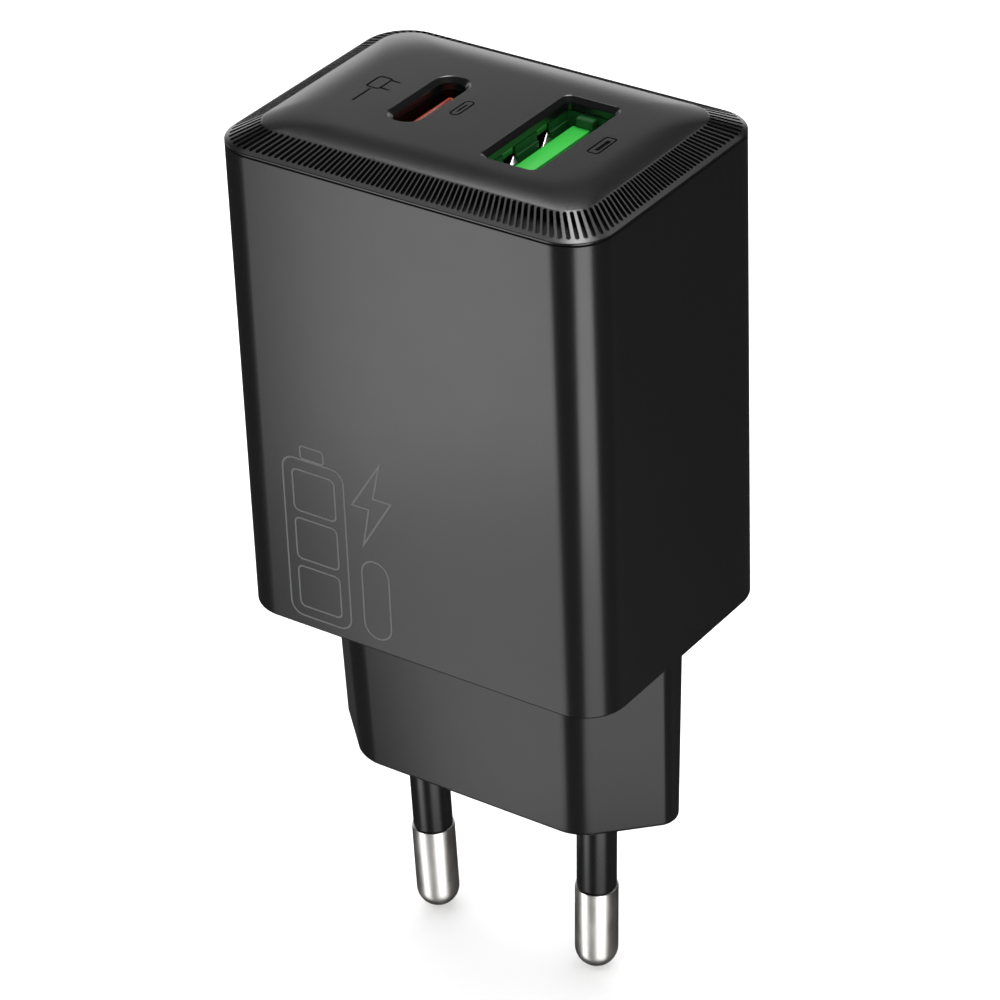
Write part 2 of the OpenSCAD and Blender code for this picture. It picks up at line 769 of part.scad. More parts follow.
module usb_a_shell() {
    color([0.78, 0.78, 0.80])
    translate([usb_a_x, 0, 0]) difference() {
        union() {
            translate([0, 0, port_z + 0.05])
                round_box(a_in_w + 2 * shell_t, a_in_l + 2 * shell_t, socket_h - 0.05, 0.6);
            for (p = usb_a_peg_points())
                translate([p[0] - usb_a_x, p[1], port_z - 1.6])
                    linear_extrude(2) square([shell_t, 0.8], center = true);
        }
        translate([0, 0, port_z - 3]) round_box(a_in_w, a_in_l, socket_h + 6, 0.4);
        for (y = grip_y)
            box(-10, 10, y - grip_w / 2 - spring_gap, y + grip_w / 2 + spring_gap,
                grip_lo_z - spring_gap, grip_hi_z + 0.25);
    }
}

// Green moulding: base, thin wall lining inside the shell, and the tongue with spring grooves
module usb_a_insulator() {
    gap = 0.02;
    color([0.20, 0.72, 0.22])
    difference() {
        union() {
            translate([usb_a_x, 0, port_z + 0.05])
                round_box(a_in_w - 2 * gap, a_in_l - 2 * gap, a_base_h, 0.38);
            translate([usb_a_x, 0, port_z + 0.05]) difference() {
                round_box(a_in_w - 2 * gap, a_in_l - 2 * gap, socket_h - 0.15, 0.38);
                translate([0, 0, -1])
                    round_box(a_in_w - 2 * liner_t, a_in_l - 2 * liner_t, socket_h + 3, 0.2);
                for (y = grip_y)
                    box(-10, 10, y - grip_w / 2 - spring_gap, y + grip_w / 2 + spring_gap,
                        grip_lo_z - port_z - spring_gap, socket_h + 1);
            }
            box(tongue_x0, tongue_x0 + tongue_w, -tongue_l / 2, tongue_l / 2,
                port_z + a_base_h - 0.5, tongue_top_z);
        }
        for (y = beam_y)
            box(groove_x, tongue_x0 + tongue_w + 1.5, y - beam_w / 2 - spring_gap,
                y + beam_w / 2 + spring_gap, port_z + 1.6, tongue_top_z - 0.7);
        for (p = usb_a_leg_points())
            translate([p[0], p[1], port_z - 1]) cylinder(h = 4, d = 0.9);
    }
}

module usb_a_contact_legs() {
    color([0.86, 0.72, 0.40])
    for (p = usb_a_leg_points()) union() {
        box(p[0] - 0.2, p[0] + 0.2, p[1] - 0.2, p[1] + 0.2, port_under_z - 0.6, port_z + 2);
        box(p[0] - beam_t / 2, p[0] + beam_t / 2, p[1] - beam_w / 2, p[1] + beam_w / 2,
            port_z + 1.9, beam_lo_z - 0.12);
    }
}

// Sprung contact beams, each with a rounded bump that touches the plug
module usb_a_contact_beams() {
    color([0.90, 0.76, 0.42])
    for (y = beam_y)
        translate([0, y + beam_w / 2, 0]) rotate([90, 0, 0])
            linear_extrude(beam_w) union() {
                translate([beam_x, beam_lo_z]) square([beam_t, beam_hi_z - beam_lo_z]);
                translate([beam_x + beam_t, beam_hi_z - 0.9]) intersection() {
                    circle(0.4);
                    translate([0, -1]) square([1, 2]);
                }
            }
}

// Sprung fingers that grip the plug, bowed towards it; side is -1 or 1 from the port's middle
module grip_fingers(side) {
    out = a_in_w / 2 + 0.2;
    in = usb_a_w / 2 - 0.35;
    mid_z = grip_hi_z - 2;
    color([0.84, 0.84, 0.86])
    for (y = grip_y)
        translate([usb_a_x, y + grip_w / 2, 0]) rotate([90, 0, 0])
            linear_extrude(grip_w)
                polygon([[side * out, grip_lo_z], [side * (in + 0.2), mid_z],
                         [side * (in + 0.55), grip_hi_z], [side * (in + 0.35), grip_hi_z],
                         [side * in, mid_z], [side * (out - 0.2), grip_lo_z]]);
}

module usb_a_grip_inner() { grip_fingers(-1); }
module usb_a_grip_outer() { grip_fingers(1); }

// ---------- USB-C receptacle ----------

c_tongue_w = 0.7;
c_tongue_l = 6.69;
c_base_h = 4.5;
c_tip_z = socket_z - 0.2;
c_plate_t = 0.14;
c_contact_x = c_tongue_w / 2;

function usb_c_leg_points() = [for (s = [-1, 1], i = [-1, 0, 1]) [-usb_c_x + s * 0.75, i * 2.4]];

module usb_c_shell() {
    color([0.78, 0.78, 0.80])
    translate([-usb_c_x, 0, port_z + 0.05]) difference() {
        linear_extrude(socket_h - 0.05) stadium(usb_c_w + 0.5, usb_c_l + 0.4);
        translate([0, 0, -1]) linear_extrude(socket_h + 3) stadium(usb_c_w - 0.1, usb_c_l - 0.2);
    }
}

module usb_c_tongue() {
    color([0.86, 0.28, 0.12])
    translate([-usb_c_x, 0, 0]) difference() {
        union() {
            translate([0, 0, port_z + 0.05]) linear_extrude(c_base_h) stadium(usb_c_w - 0.14, usb_c_l - 0.24);
            translate([0, 0, port_z + c_base_h - 0.5])
                linear_extrude(c_tip_z - port_z - c_base_h + 0.5)
                    square([c_tongue_w, c_tongue_l], center = true);
        }
        translate([0, 0, port_z - 1])
            linear_extrude(socket_h + 3) square([c_plate_t + 0.02, c_tongue_l - 0.6], center = true);
        for (s = [-1, 1])
            for (i = [-3 : 3])
                box(min(s * (c_contact_x - 0.1), s * 3), max(s * (c_contact_x - 0.1), s * 3),
                    i * 0.85 - 0.17, i * 0.85 + 0.17, port_z + c_base_h + 0.3, c_tip_z - 0.6);
        for (p = usb_c_leg_points())
            translate([p[0] + usb_c_x, p[1], port_z - 1]) cylinder(h = 3.2, d = 0.66);
    }
}

// Steel plate through the middle of the tongue; its edge shows at the tip
module usb_c_mid_plate() {
    color([0.80, 0.80, 0.82])
    translate([-usb_c_x, 0, port_z + 0.8])
        linear_extrude(c_tip_z - port_z - 0.7) square([c_plate_t, c_tongue_l - 0.64], center = true);
}

// Flat contacts set in both faces of the tongue, and the legs under its base
module usb_c_contacts() {
    color([0.88, 0.72, 0.38]) {
        for (s = [-1, 1], i = [-3 : 3])
            translate([-usb_c_x + s * (c_contact_x - 0.05), i * 0.85, port_z + c_base_h + 0.32])
                linear_extrude(c_tip_z - port_z - c_base_h - 0.94) square([0.08, 0.3], center = true);
        for (p = usb_c_leg_points())
            translate([p[0], p[1], port_under_z - 0.5]) cylinder(h = board_t + 2.5, d = 0.6);
    }
}

case_body();
top_cover();
pin_left();
pin_right();
sleeve_left();
sleeve_right();
pin_holder();
pin_contact_left();
pin_contact_right();
main_board();
port_board();
transformer_core_lower();
transformer_core_upper();
transformer_bobbin();
primary_winding();
secondary_winding();
transformer_tape();
choke_core();
choke_windings();
x_capacitor();
y_capacitor();
bulk_capacitor_upper();
bulk_capacitor_lower();
fuse();
bridge_rectifier();
gan_controller();
rectifier_chip();
optocoupler();
thermal_pad();
heat_plate();
insulation_sheet();
output_capacitor_front();
output_capacitor_rear();
output_inductor();
protocol_chip();
chip_passives();
usb_a_shell();
usb_a_insulator();
usb_a_contact_legs();
usb_a_contact_beams();
usb_a_grip_inner();
usb_a_grip_outer();
usb_c_shell();
usb_c_tongue();
usb_c_mid_plate();
usb_c_contacts();
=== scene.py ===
"""USB wall charger: the finely modelled outside, the ports and the finish of every inner piece.

Sizes are in millimetres until a mesh is scaled to metres at its end.
"""

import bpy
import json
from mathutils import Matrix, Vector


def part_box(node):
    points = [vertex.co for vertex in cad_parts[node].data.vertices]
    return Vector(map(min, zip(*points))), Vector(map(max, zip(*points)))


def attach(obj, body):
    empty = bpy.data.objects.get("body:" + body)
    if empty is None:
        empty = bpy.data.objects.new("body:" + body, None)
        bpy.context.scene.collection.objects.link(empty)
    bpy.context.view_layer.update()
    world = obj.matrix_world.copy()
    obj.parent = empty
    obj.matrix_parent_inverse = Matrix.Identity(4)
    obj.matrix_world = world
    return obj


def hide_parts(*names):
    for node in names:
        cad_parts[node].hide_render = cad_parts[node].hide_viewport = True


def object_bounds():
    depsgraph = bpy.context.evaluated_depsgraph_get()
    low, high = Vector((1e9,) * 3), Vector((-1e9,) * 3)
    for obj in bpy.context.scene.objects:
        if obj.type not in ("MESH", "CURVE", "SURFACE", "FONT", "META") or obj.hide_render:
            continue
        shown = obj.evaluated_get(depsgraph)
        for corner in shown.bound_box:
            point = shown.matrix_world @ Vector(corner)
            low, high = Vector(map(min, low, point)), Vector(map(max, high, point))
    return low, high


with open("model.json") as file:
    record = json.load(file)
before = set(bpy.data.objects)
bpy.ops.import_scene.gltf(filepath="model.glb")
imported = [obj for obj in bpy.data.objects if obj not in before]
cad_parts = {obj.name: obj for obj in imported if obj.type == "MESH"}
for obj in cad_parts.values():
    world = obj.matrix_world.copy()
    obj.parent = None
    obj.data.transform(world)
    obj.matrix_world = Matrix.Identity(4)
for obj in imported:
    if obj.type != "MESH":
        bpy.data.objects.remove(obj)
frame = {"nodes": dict(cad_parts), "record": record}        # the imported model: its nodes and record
CAD_BOX = [list(corner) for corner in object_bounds()]

import json
import math
from contextlib import contextmanager

import bmesh
import bpy
from bpy.props import FloatProperty, FloatVectorProperty, IntProperty, PointerProperty
from mathutils import Matrix, Vector

bl_info = {
    "name": "USB Wall Charger",
    "version": (1, 0, 0),
    "blender": (4, 5, 0),
    "location": "3D View > Sidebar > Charger",
    "description": "Models a two-port wall charger round its packed inner parts",
    "category": "Object",
}

MM = 0.001
ROUND_STEPS = 20                 # steps round each quarter turn of a moulded corner
EDGE_ANGLES = (0, 20, 40, 60, 75, 90)
GLOSS_SPREAD = 0.008             # how far a moulded surface's roughness wanders


def node_box(name):
    """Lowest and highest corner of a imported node, in millimetres."""
    low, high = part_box(name)
    return low / MM, high / MM


CASE_LOW, CASE_HIGH = node_box("case_body")
COVER_LOW, COVER_HIGH = node_box("top_cover")
SHELL_A_LOW, SHELL_A_HIGH = node_box("usb_a_shell")
SHELL_C_LOW, SHELL_C_HIGH = node_box("usb_c_shell")
CASE_W = CASE_HIGH.x - CASE_LOW.x
CASE_D = CASE_HIGH.y - CASE_LOW.y
PORT_A_X = (SHELL_A_LOW.x + SHELL_A_HIGH.x) / 2
PORT_C_X = (SHELL_C_LOW.x + SHELL_C_HIGH.x) / 2
TOP_Z = COVER_HIGH.z
BEAM_Y = (-3.5, -1, 1, 3.5)      # middles of the USB-A contact beams
BEAM_W = 1
PIN_MOUNTS = {m["name"]: m for m in frame["record"]["mounts"] if m["kind"] == "pin"}


def srgb(code):
    """Linear colour of an sRGB hex code."""
    parts = [int(code[i:i + 2], 16) / 255 for i in (1, 3, 5)]
    return tuple(p / 12.92 if p <= 0.04045 else ((p + 0.055) / 1.055) ** 2.4 for p in parts)


# ---------------------------------------------------------------- settings

class CaseSettings(bpy.types.PropertyGroup):
    """Sizes of the case and its plug part."""

    corner_r: FloatProperty(name="Corner radius", description="Radius of the upright edges", default=4.0)
    foot_r: FloatProperty(name="Foot radius", description="Radius round the underside", default=0.3)
    foot_z: FloatProperty(name="Underside", description="Height of the underside", default=18.2)
    wall: FloatProperty(name="Wall", description="Thickness of the case walls", default=1.8)
    rim_bevel: FloatProperty(name="Rim bevel", description="Bevel along the parting line", default=0.08)
    plug_w: FloatProperty(name="Plug width", description="Width of the plug face", default=35.3)
    plug_d: FloatProperty(name="Plug depth", description="Depth of the plug face", default=13.6)
    plug_cut: FloatProperty(name="Plug cut", description="Size of the plug's corner cuts", default=6.0)
    plug_edge_r: FloatProperty(name="Plug edge", description="Radius beside its wide faces", default=4.0)
    plug_side_r: FloatProperty(name="Plug side edge", description="Radius beside narrow faces", default=1.6)
    plug_face_r: FloatProperty(name="Plug face edge", description="Radius round its face", default=0.5)
    plug_draft: FloatProperty(name="Draft", description="Growth of each side over its height", default=0.38)
    plug_wall: FloatProperty(name="Plug wall", description="Thickness of its walls", default=1.6)
    face_t: FloatProperty(name="Plug face", description="Thickness of its face", default=2.2)


class CoverSettings(bpy.types.PropertyGroup):
    """Sizes of the top cover."""

    band_w: FloatProperty(name="Band width", description="Width of the slotted band", default=2.68)
    band_rise: FloatProperty(name="Band rise", description="Rise of the slotted band", default=1.3)
    band_inner_r: FloatProperty(name="Inner radius", description="Radius of its inner corners", default=2.8)
    crown_w: FloatProperty(name="Crown width", description="Width of the crown's curve", default=3.4)
    crown_rise: FloatProperty(name="Crown rise", description="Rise of the crown's curve", default=0.4)
    crown_power: FloatProperty(name="Crown curve", description="How fast it flattens", default=2.5)
    slots_wide: IntProperty(name="Wide side", description="Slots along a wide side", default=54)
    slots_narrow: IntProperty(name="Narrow side", description="Slots along a narrow side", default=34)
    slots_corner: IntProperty(name="Corner", description="Slots round a corner", default=8)
    slot_w: FloatProperty(name="Slot width", description="Width of a slot", default=0.38)
    engraving: FloatProperty(name="Engraving", description="Depth of the port marks", default=0.14)
    skirt_h: FloatProperty(name="Skirt", description="Depth of the skirt inside the case", default=2.2)
    skirt_gap: FloatProperty(name="Skirt gap", description="Gap between skirt and case", default=0.15)
    pocket_wall: FloatProperty(name="Pocket wall", description="Wall inside the slots", default=0.6)
    post_r: FloatProperty(name="Post", description="Radius of the posts on the port board", default=0.9)


class PortSettings(bpy.types.PropertyGroup):
    """Sizes of the openings in the cover."""

    a_w: FloatProperty(name="USB-A width", description="Short side of the opening", default=4.9)
    a_l: FloatProperty(name="USB-A length", description="Long side of the opening", default=12.3)
    c_w: FloatProperty(name="USB-C width", description="Short side of the opening", default=2.65)
    c_l: FloatProperty(name="USB-C length", description="Long side of the opening", default=8.55)
    bevel: FloatProperty(name="Bevel", description="Bevel round an opening", default=0.45)
    tongue_w: FloatProperty(name="Tongue width", description="Width of the USB-A tongue", default=1.8)
    tongue_l: FloatProperty(name="Tongue length", description="Length of the USB-A tongue", default=11.1)
    tongue_off: FloatProperty(name="Tongue offset", description="Its distance off the middle", default=-0.75)
    finger_w: FloatProperty(name="Finger", description="Width of a gripping finger", default=1.5)
    finger_y: FloatProperty(name="Finger place", description="Its distance from the middle", default=2.5)
    spring_gap: FloatProperty(name="Spring gap", description="Gap round a spring", default=0.15)


class PinSettings(bpy.types.PropertyGroup):
    """Sizes of the pins and their sleeves."""

    pitch: FloatProperty(name="Pitch", description="Distance between the pins at the plug face", default=18.7)
    length: FloatProperty(name="Length", description="Length outside the plug face", default=19.0)
    tip_l: FloatProperty(name="Tip", description="Length of the bare tip", default=9.0)
    core_r: FloatProperty(name="Core", description="Radius under the sleeve", default=1.5)
    sleeve_r: FloatProperty(name="Sleeve", description="Radius of the sleeve", default=1.84)
    hole_r: FloatProperty(name="Hole", description="Radius of the holes in the plug face", default=1.92)


class PrintSettings(bpy.types.PropertyGroup):
    """Sizes of the line drawing printed on the front."""

    left: FloatProperty(name="Left", description="Left edge of the drawing", default=-13.2)
    bottom: FloatProperty(name="Bottom", description="Lower edge of the drawing", default=19.3)
    line: FloatProperty(name="Line", description="Width of a printed line", default=0.16)
    ink: FloatProperty(name="Ink", description="Thickness of the ink", default=0.015)


class FinishSettings(bpy.types.PropertyGroup):
    """Colours that a user would change."""

    case: FloatVectorProperty(
        name="Case", description="Colour of the case", subtype="COLOR", default=srgb("#0f0f10"))
    tongue: FloatVectorProperty(
        name="USB-A tongue", description="Colour of the tongue", subtype="COLOR", default=srgb("#2fa53a"))


class ChargerSettings(bpy.types.PropertyGroup):
    """All settings of the charger."""

    case: PointerProperty(type=CaseSettings)
    cover: PointerProperty(type=CoverSettings)
    ports: PointerProperty(type=PortSettings)
    pins: PointerProperty(type=PinSettings)
    front_print: PointerProperty(type=PrintSettings)
    finish: PointerProperty(type=FinishSettings)


# ---------------------------------------------------------------- modelling helpers

def select_only(*objects):
    """Selects these objects and makes the first one active."""
    bpy.ops.object.select_all(action="DESELECT")
    for obj in objects:
        obj.select_set(True)
    bpy.context.view_layer.objects.active = objects[0]


@contextmanager
def editing(obj):
    """Edit mode on one object, with nothing selected in its mesh."""
    select_only(obj)
    bpy.ops.object.mode_set(mode="EDIT")
    bpy.ops.mesh.select_all(action="DESELECT")
    yield
    bpy.ops.object.mode_set(mode="OBJECT")


def outline(width, depth, radius, z, centre=(0, 0), steps=ROUND_STEPS, second=()):
    """A round-cornered rectangle of edges.

    The two values in second round an octagon's corners, beside its wide faces and beside its narrow ones.
    """
    bpy.ops.object.select_all(action="DESELECT")
    bpy.ops.mesh.primitive_plane_add(size=1)
    ring = bpy.context.object
    with editing(ring):
        bpy.ops.mesh.select_all(action="SELECT")
        bpy.ops.transform.resize(value=(width, depth, 1))
        bpy.ops.mesh.bevel(affect="VERTICES", offset=radius, segments=steps)
        corners = bmesh.from_edit_mesh(ring.data)
        for axis, reach, corner in zip((1, 0), (depth / 2, width / 2), second):
            for vertex in corners.verts:
                vertex.select_set(abs(abs(vertex.co[axis]) - reach) < 1e-4)
            corners.select_flush_mode()
            bpy.ops.mesh.bevel(affect="VERTICES", offset=corner * math.tan(math.radians(22.5)), segments=8)
        bpy.ops.mesh.select_all(action="SELECT")
        bpy.ops.transform.translate(value=(*centre, z))
        bpy.ops.mesh.delete(type="ONLY_FACE")
    return ring


def circle(radius, z, centre=(0, 0), steps=64):
    """A circle of edges."""
    bpy.ops.object.select_all(action="DESELECT")
    bpy.ops.mesh.primitive_circle_add(vertices=steps, radius=radius, location=(*centre, z))
    bpy.ops.object.transform_apply()
    return bpy.context.object


def loft(rings, closed=False):
    """A skin over rings of equal counts; its ends are filled, or joined if it closes on itself."""
    for number, ring in enumerate(rings):
        group = ring.vertex_groups.new(name=f"ring {number:03d}")
        group.add(range(len(ring.data.vertices)), 1, "REPLACE")
    select_only(*rings)
    bpy.ops.object.join()
    skin = rings[0]
    pairs = [(i, i + 1) for i in range(len(rings) - 1)] + ([(len(rings) - 1, 0)] if closed else [])
    index = {group.name: group.index for group in skin.vertex_groups}

    def pick(number):
        skin.vertex_groups.active_index = index[f"ring {number:03d}"]
        bpy.ops.object.vertex_group_select()

    with editing(skin):
        for pair in pairs:
            bpy.ops.mesh.select_all(action="DESELECT")
            for number in pair:
                pick(number)
            bpy.ops.mesh.bridge_edge_loops()
        for end in [] if closed else [0, len(rings) - 1]:
            bpy.ops.mesh.select_all(action="DESELECT")
            pick(end)
            bpy.ops.mesh.edge_face_add()
        bpy.ops.mesh.select_all(action="SELECT")
        bpy.ops.mesh.normals_make_consistent(inside=False)
    skin.vertex_groups.clear()
    return skin


def prism(points, low, high):
    """A straight prism over an outline of points."""
    bpy.ops.object.select_all(action="DESELECT")
    bpy.ops.mesh.primitive_circle_add(vertices=len(points), radius=1, fill_type="NGON")
    solid = bpy.context.object
    for vertex, point in zip(solid.data.vertices, points):
        vertex.co = (*point, low)
    with editing(solid):
        bpy.ops.mesh.select_all(action="SELECT")
        bpy.ops.mesh.extrude_region_move(TRANSFORM_OT_translate={"value": (0, 0, high - low)})
        bpy.ops.mesh.select_all(action="SELECT")
        bpy.ops.mesh.normals_make_consistent(inside=False)
    return solid


def boolean(target, tool, operation="DIFFERENCE"):
    """Cuts or adds one solid and removes the tool."""
    select_only(target)
    bpy.ops.object.modifier_add(type="BOOLEAN")
    cut = target.modifiers[-1]
    cut.operation = operation
    cut.solver = "EXACT"
    cut.object = tool
    bpy.ops.object.modifier_apply(modifier=cut.name)
    bpy.data.objects.remove(tool)


def merge(objects):
    """Joins objects into the first one."""
    select_only(*objects)
    bpy.ops.object.join()
    return objects[0]


def finish(obj, name, material, slot, replaces=(), body="root", smooth=9):
    """Scales a piece to metres, shades it, and ties it to the frame."""
    obj.data.transform(Matrix.Scale(MM, 4))
    obj.name = obj.data.name = name
    select_only(obj)
    bpy.ops.object.shade_smooth_by_angle(angle=math.radians(smooth))
    obj.data.materials.clear()
    obj.data.materials.append(material)
    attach(obj, body)
    if replaces:
        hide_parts(*replaces)
    return obj


# ---------------------------------------------------------------- materials

def add_node(tree, kind, links=(), settings=(), **sockets):
    """Adds a node with its settings, its socket values and its incoming links."""
    node = tree.nodes.new(kind)
    for key, value in dict(settings).items():
        setattr(node, key, value)
    for key, value in sockets.items():
        node.inputs[key.replace("_", " ")].default_value = value
    for socket, source in dict(links).items():
        tree.links.new(source, node.inputs[socket])
    return node


def start_material(name, **sockets):
    """A new material: its tree, its shader and the piece's own coordinates."""
    material = bpy.data.materials.new(name)
    material.use_nodes = True
    tree = material.node_tree
    shader = tree.nodes["Principled BSDF"]
    for key, value in sockets.items():
        shader.inputs[key.replace("_", " ")].default_value = value
    place = tree.nodes.new("ShaderNodeTexCoord").outputs["Object"]
    return material, tree, shader, place


def per_mm(size):
    """Texture scale that gives features of this size in millimetres."""
    return 1 / (size * MM)


def moulded(name, colour, roughness, grain=0.3, depth=0.004, tone=0.06, ior=1.58):
    """Moulded plastic: fine grain from the mould, faint flow in its tone, and uneven gloss."""
    material, tree, shader, place = start_material(name, IOR=ior)
    flow = add_node(tree, "ShaderNodeTexNoise", {"Vector": place}, Scale=per_mm(9), Detail=3.0)
    low = tuple(c * (1 - tone) for c in colour)
    high = tuple(c * (1 + tone) for c in colour)
    mix = add_node(tree, "ShaderNodeMix", settings={"data_type": "RGBA"})
    mix.inputs[6].default_value = (*low, 1)
    mix.inputs[7].default_value = (*high, 1)
    tree.links.new(flow.outputs["Fac"], mix.inputs[0])
    tree.links.new(mix.outputs[2], shader.inputs["Base Color"])
    touch = add_node(tree, "ShaderNodeTexNoise", {"Vector": place}, Scale=per_mm(3.5), Detail=4.0)
    gloss = add_node(tree, "ShaderNodeMapRange", {"Value": touch.outputs["Fac"]},
                     From_Min=0.3, From_Max=0.7,
                     To_Min=roughness - GLOSS_SPREAD, To_Max=roughness + GLOSS_SPREAD)
    tree.links.new(gloss.outputs["Result"], shader.inputs["Roughness"])
    erosion = add_node(tree, "ShaderNodeTexNoise", {"Vector": place}, Scale=per_mm(grain), Detail=2.0)
    bump = add_node(tree, "ShaderNodeBump", {"Height": erosion.outputs["Fac"]},
                    Strength=1.0, Distance=depth * MM)
    tree.links.new(bump.outputs["Normal"], shader.inputs["Normal"])
    return material


def metal(name, colour, roughness, scratch=0.12, depth=0.003, stretch=(1, 1, 0.06)):
    """Metal with drawn or tumbled marks, which break its reflections up along one way."""
    material, tree, shader, place = start_material(name, Metallic=1.0)
    marks_place = add_node(tree, "ShaderNodeMapping", {"Vector": place}, Scale=stretch)
    marks = add_node(tree, "ShaderNodeTexNoise", {"Vector": marks_place.outputs["Vector"]},
                     Scale=per_mm(scratch), Detail=3.0)
    cloud = add_node(tree, "ShaderNodeTexNoise", {"Vector": place}, Scale=per_mm(2.5), Detail=4.0)
    gloss = add_node(tree, "ShaderNodeMapRange", {"Value": cloud.outputs["Fac"]},
                     From_Min=0.3, From_Max=0.7, To_Min=roughness * 0.8, To_Max=roughness * 1.25)
    tree.links.new(gloss.outputs["Result"], shader.inputs["Roughness"])
    mix = add_node(tree, "ShaderNodeMix", settings={"data_type": "RGBA"})
    mix.inputs[6].default_value = (*(c * 0.93 for c in colour), 1)
    mix.inputs[7].default_value = (*colour, 1)
    tree.links.new(marks.outputs["Fac"], mix.inputs[0])
    tree.links.new(mix.outputs[2], shader.inputs["Base Color"])
    bump = add_node(tree, "ShaderNodeBump", {"Height": marks.outputs["Fac"]},
                    Strength=1.0, Distance=depth * MM)
    tree.links.new(bump.outputs["Normal"], shader.inputs["Normal"])
    return material


def case_plastic(settings):
    # Polycarbonate from a finely eroded mould: a satin black whose wide reflections have soft edges
    return moulded("satin black polycarbonate", settings.finish.case, 0.24, grain=0.28, depth=0.0012)


def cover_plastic(settings):
    # The same resin from a smoother mould: a deeper black with tighter highlights along its edges
    return moulded("semi-gloss black polycarbonate", settings.finish.case, 0.25, grain=0.35, depth=0.0010)


def sleeve_plastic():
    # Nylon moulded straight onto the pin: smooth, with a soft waxy highlight
    return moulded("smooth black nylon", srgb("#0d0d0e"), 0.28, grain=0.5, depth=0.001, ior=1.53)


def pin_nickel():
    # Nickel over turned brass, tumbled after plating: a warm pale grey with a broad satin highlight
    return metal("satin nickel plate", srgb("#d8d6d2"), 0.36, scratch=0.5, depth=0.0004, stretch=(1, 1, 4))


def printed_ink():
    # Thin grey pad-printed ink, duller than the plastic under it
    return moulded("grey pad-printed ink", srgb("#505052"), 0.55, grain=0.12, depth=0.002, tone=0.12)


def spring_steel():
    # Stainless strip, rolled and cut: bright, with fine marks along the strip
    return metal("rolled spring steel", srgb("#dcdcdc"), 0.16, scratch=0.1)


def shell_steel():
    # Nickel on deep-drawn steel: bright, a little cloudy
    return metal("nickel on drawn steel", srgb("#c9c8c5"), 0.22, scratch=0.15)


def green_moulding(settings):
    # Glass-filled PBT: a strong green, slightly mottled by its fibres, glossy where the mould was polished
    return moulded("green glass-filled PBT", settings.finish.tongue, 0.34, grain=0.12, depth=0.002, tone=0.14)


def shade_darkened_lining_green():
    # The same PBT, duller where the mould was left as cut; its darker green is painted shade of the deep lining walls
    # beside the tongue
    return moulded("green PBT darkened for painted shade", srgb("#0b4a1c"), 0.45, grain=0.12, depth=0.002, tone=0.14)


def red_moulding():
    # Liquid-crystal polymer: a deep orange-red with pale flow streaks
    return moulded("orange-red LCP", srgb("#8a2a12"), 0.4, grain=0.1, depth=0.002, tone=0.2)


# ---------------------------------------------------------------- stage

CAMERA_AT = Vector((187.775, -263.455, 224.306))
CAMERA_FORWARD = Vector((-0.49609, 0.69601, -0.51910))
CAMERA_RIGHT = Vector((0.82567, 0.56312, -0.03405))
LENS = 156.27                    # millimetres on a 36 mm wide sensor


def soft_light(name, azimuth, elevation, distance, size, radiance, shift=(0, 0), aim=(0, 0, 24), only=()):
    """A rectangular softbox, seen in reflections and never by the camera; only names the pieces it lights."""
    azimuth, elevation = math.radians(azimuth), math.radians(elevation)
    out = Vector((math.cos(azimuth) * math.cos(elevation), math.sin(azimuth) * math.cos(elevation),
                  math.sin(elevation)))
    turn = out.to_track_quat("Z", "Y")
    place = Vector(aim) + out * distance + turn @ Vector((*shift, 0))
    bpy.ops.object.select_all(action="DESELECT")
    bpy.ops.object.light_add(type="AREA", location=place * MM)
    lamp = bpy.context.object
    lamp.name = lamp.data.name = name
    lamp.data.shape = "RECTANGLE"
    lamp.data.size = size[0] * MM
    lamp.data.size_y = size[1] * MM
    lamp.data.energy = radiance * math.pi * size[0] * size[1] * MM * MM
    lamp.rotation_euler = turn.to_euler()
    lamp.visible_camera = False
    if only:
        lamp.light_linking.receiver_collection = bpy.data.collections.new(name + " receivers")
        for piece in only:
            lamp.light_linking.receiver_collection.objects.link(bpy.data.objects[piece])
    return lamp


def stage_surface(name, colour):
    """Plain matt paint with the faint unevenness of a rolled coat."""
    material, tree, shader, place = start_material(name, Roughness=0.9)
    shader.inputs["Specular IOR Level"].default_value = 0.0
    cloud = add_node(tree, "ShaderNodeTexNoise", {"Vector": place}, Scale=per_mm(40), Detail=2.0)
    mix = add_node(tree, "ShaderNodeMix", settings={"data_type": "RGBA"})
    mix.inputs[6].default_value = (*(c * 0.99 for c in colour), 1)
    mix.inputs[7].default_value = (*colour, 1)
    tree.links.new(cloud.outputs["Fac"], mix.inputs[0])
    tree.links.new(mix.outputs[2], shader.inputs["Base Color"])
    return material


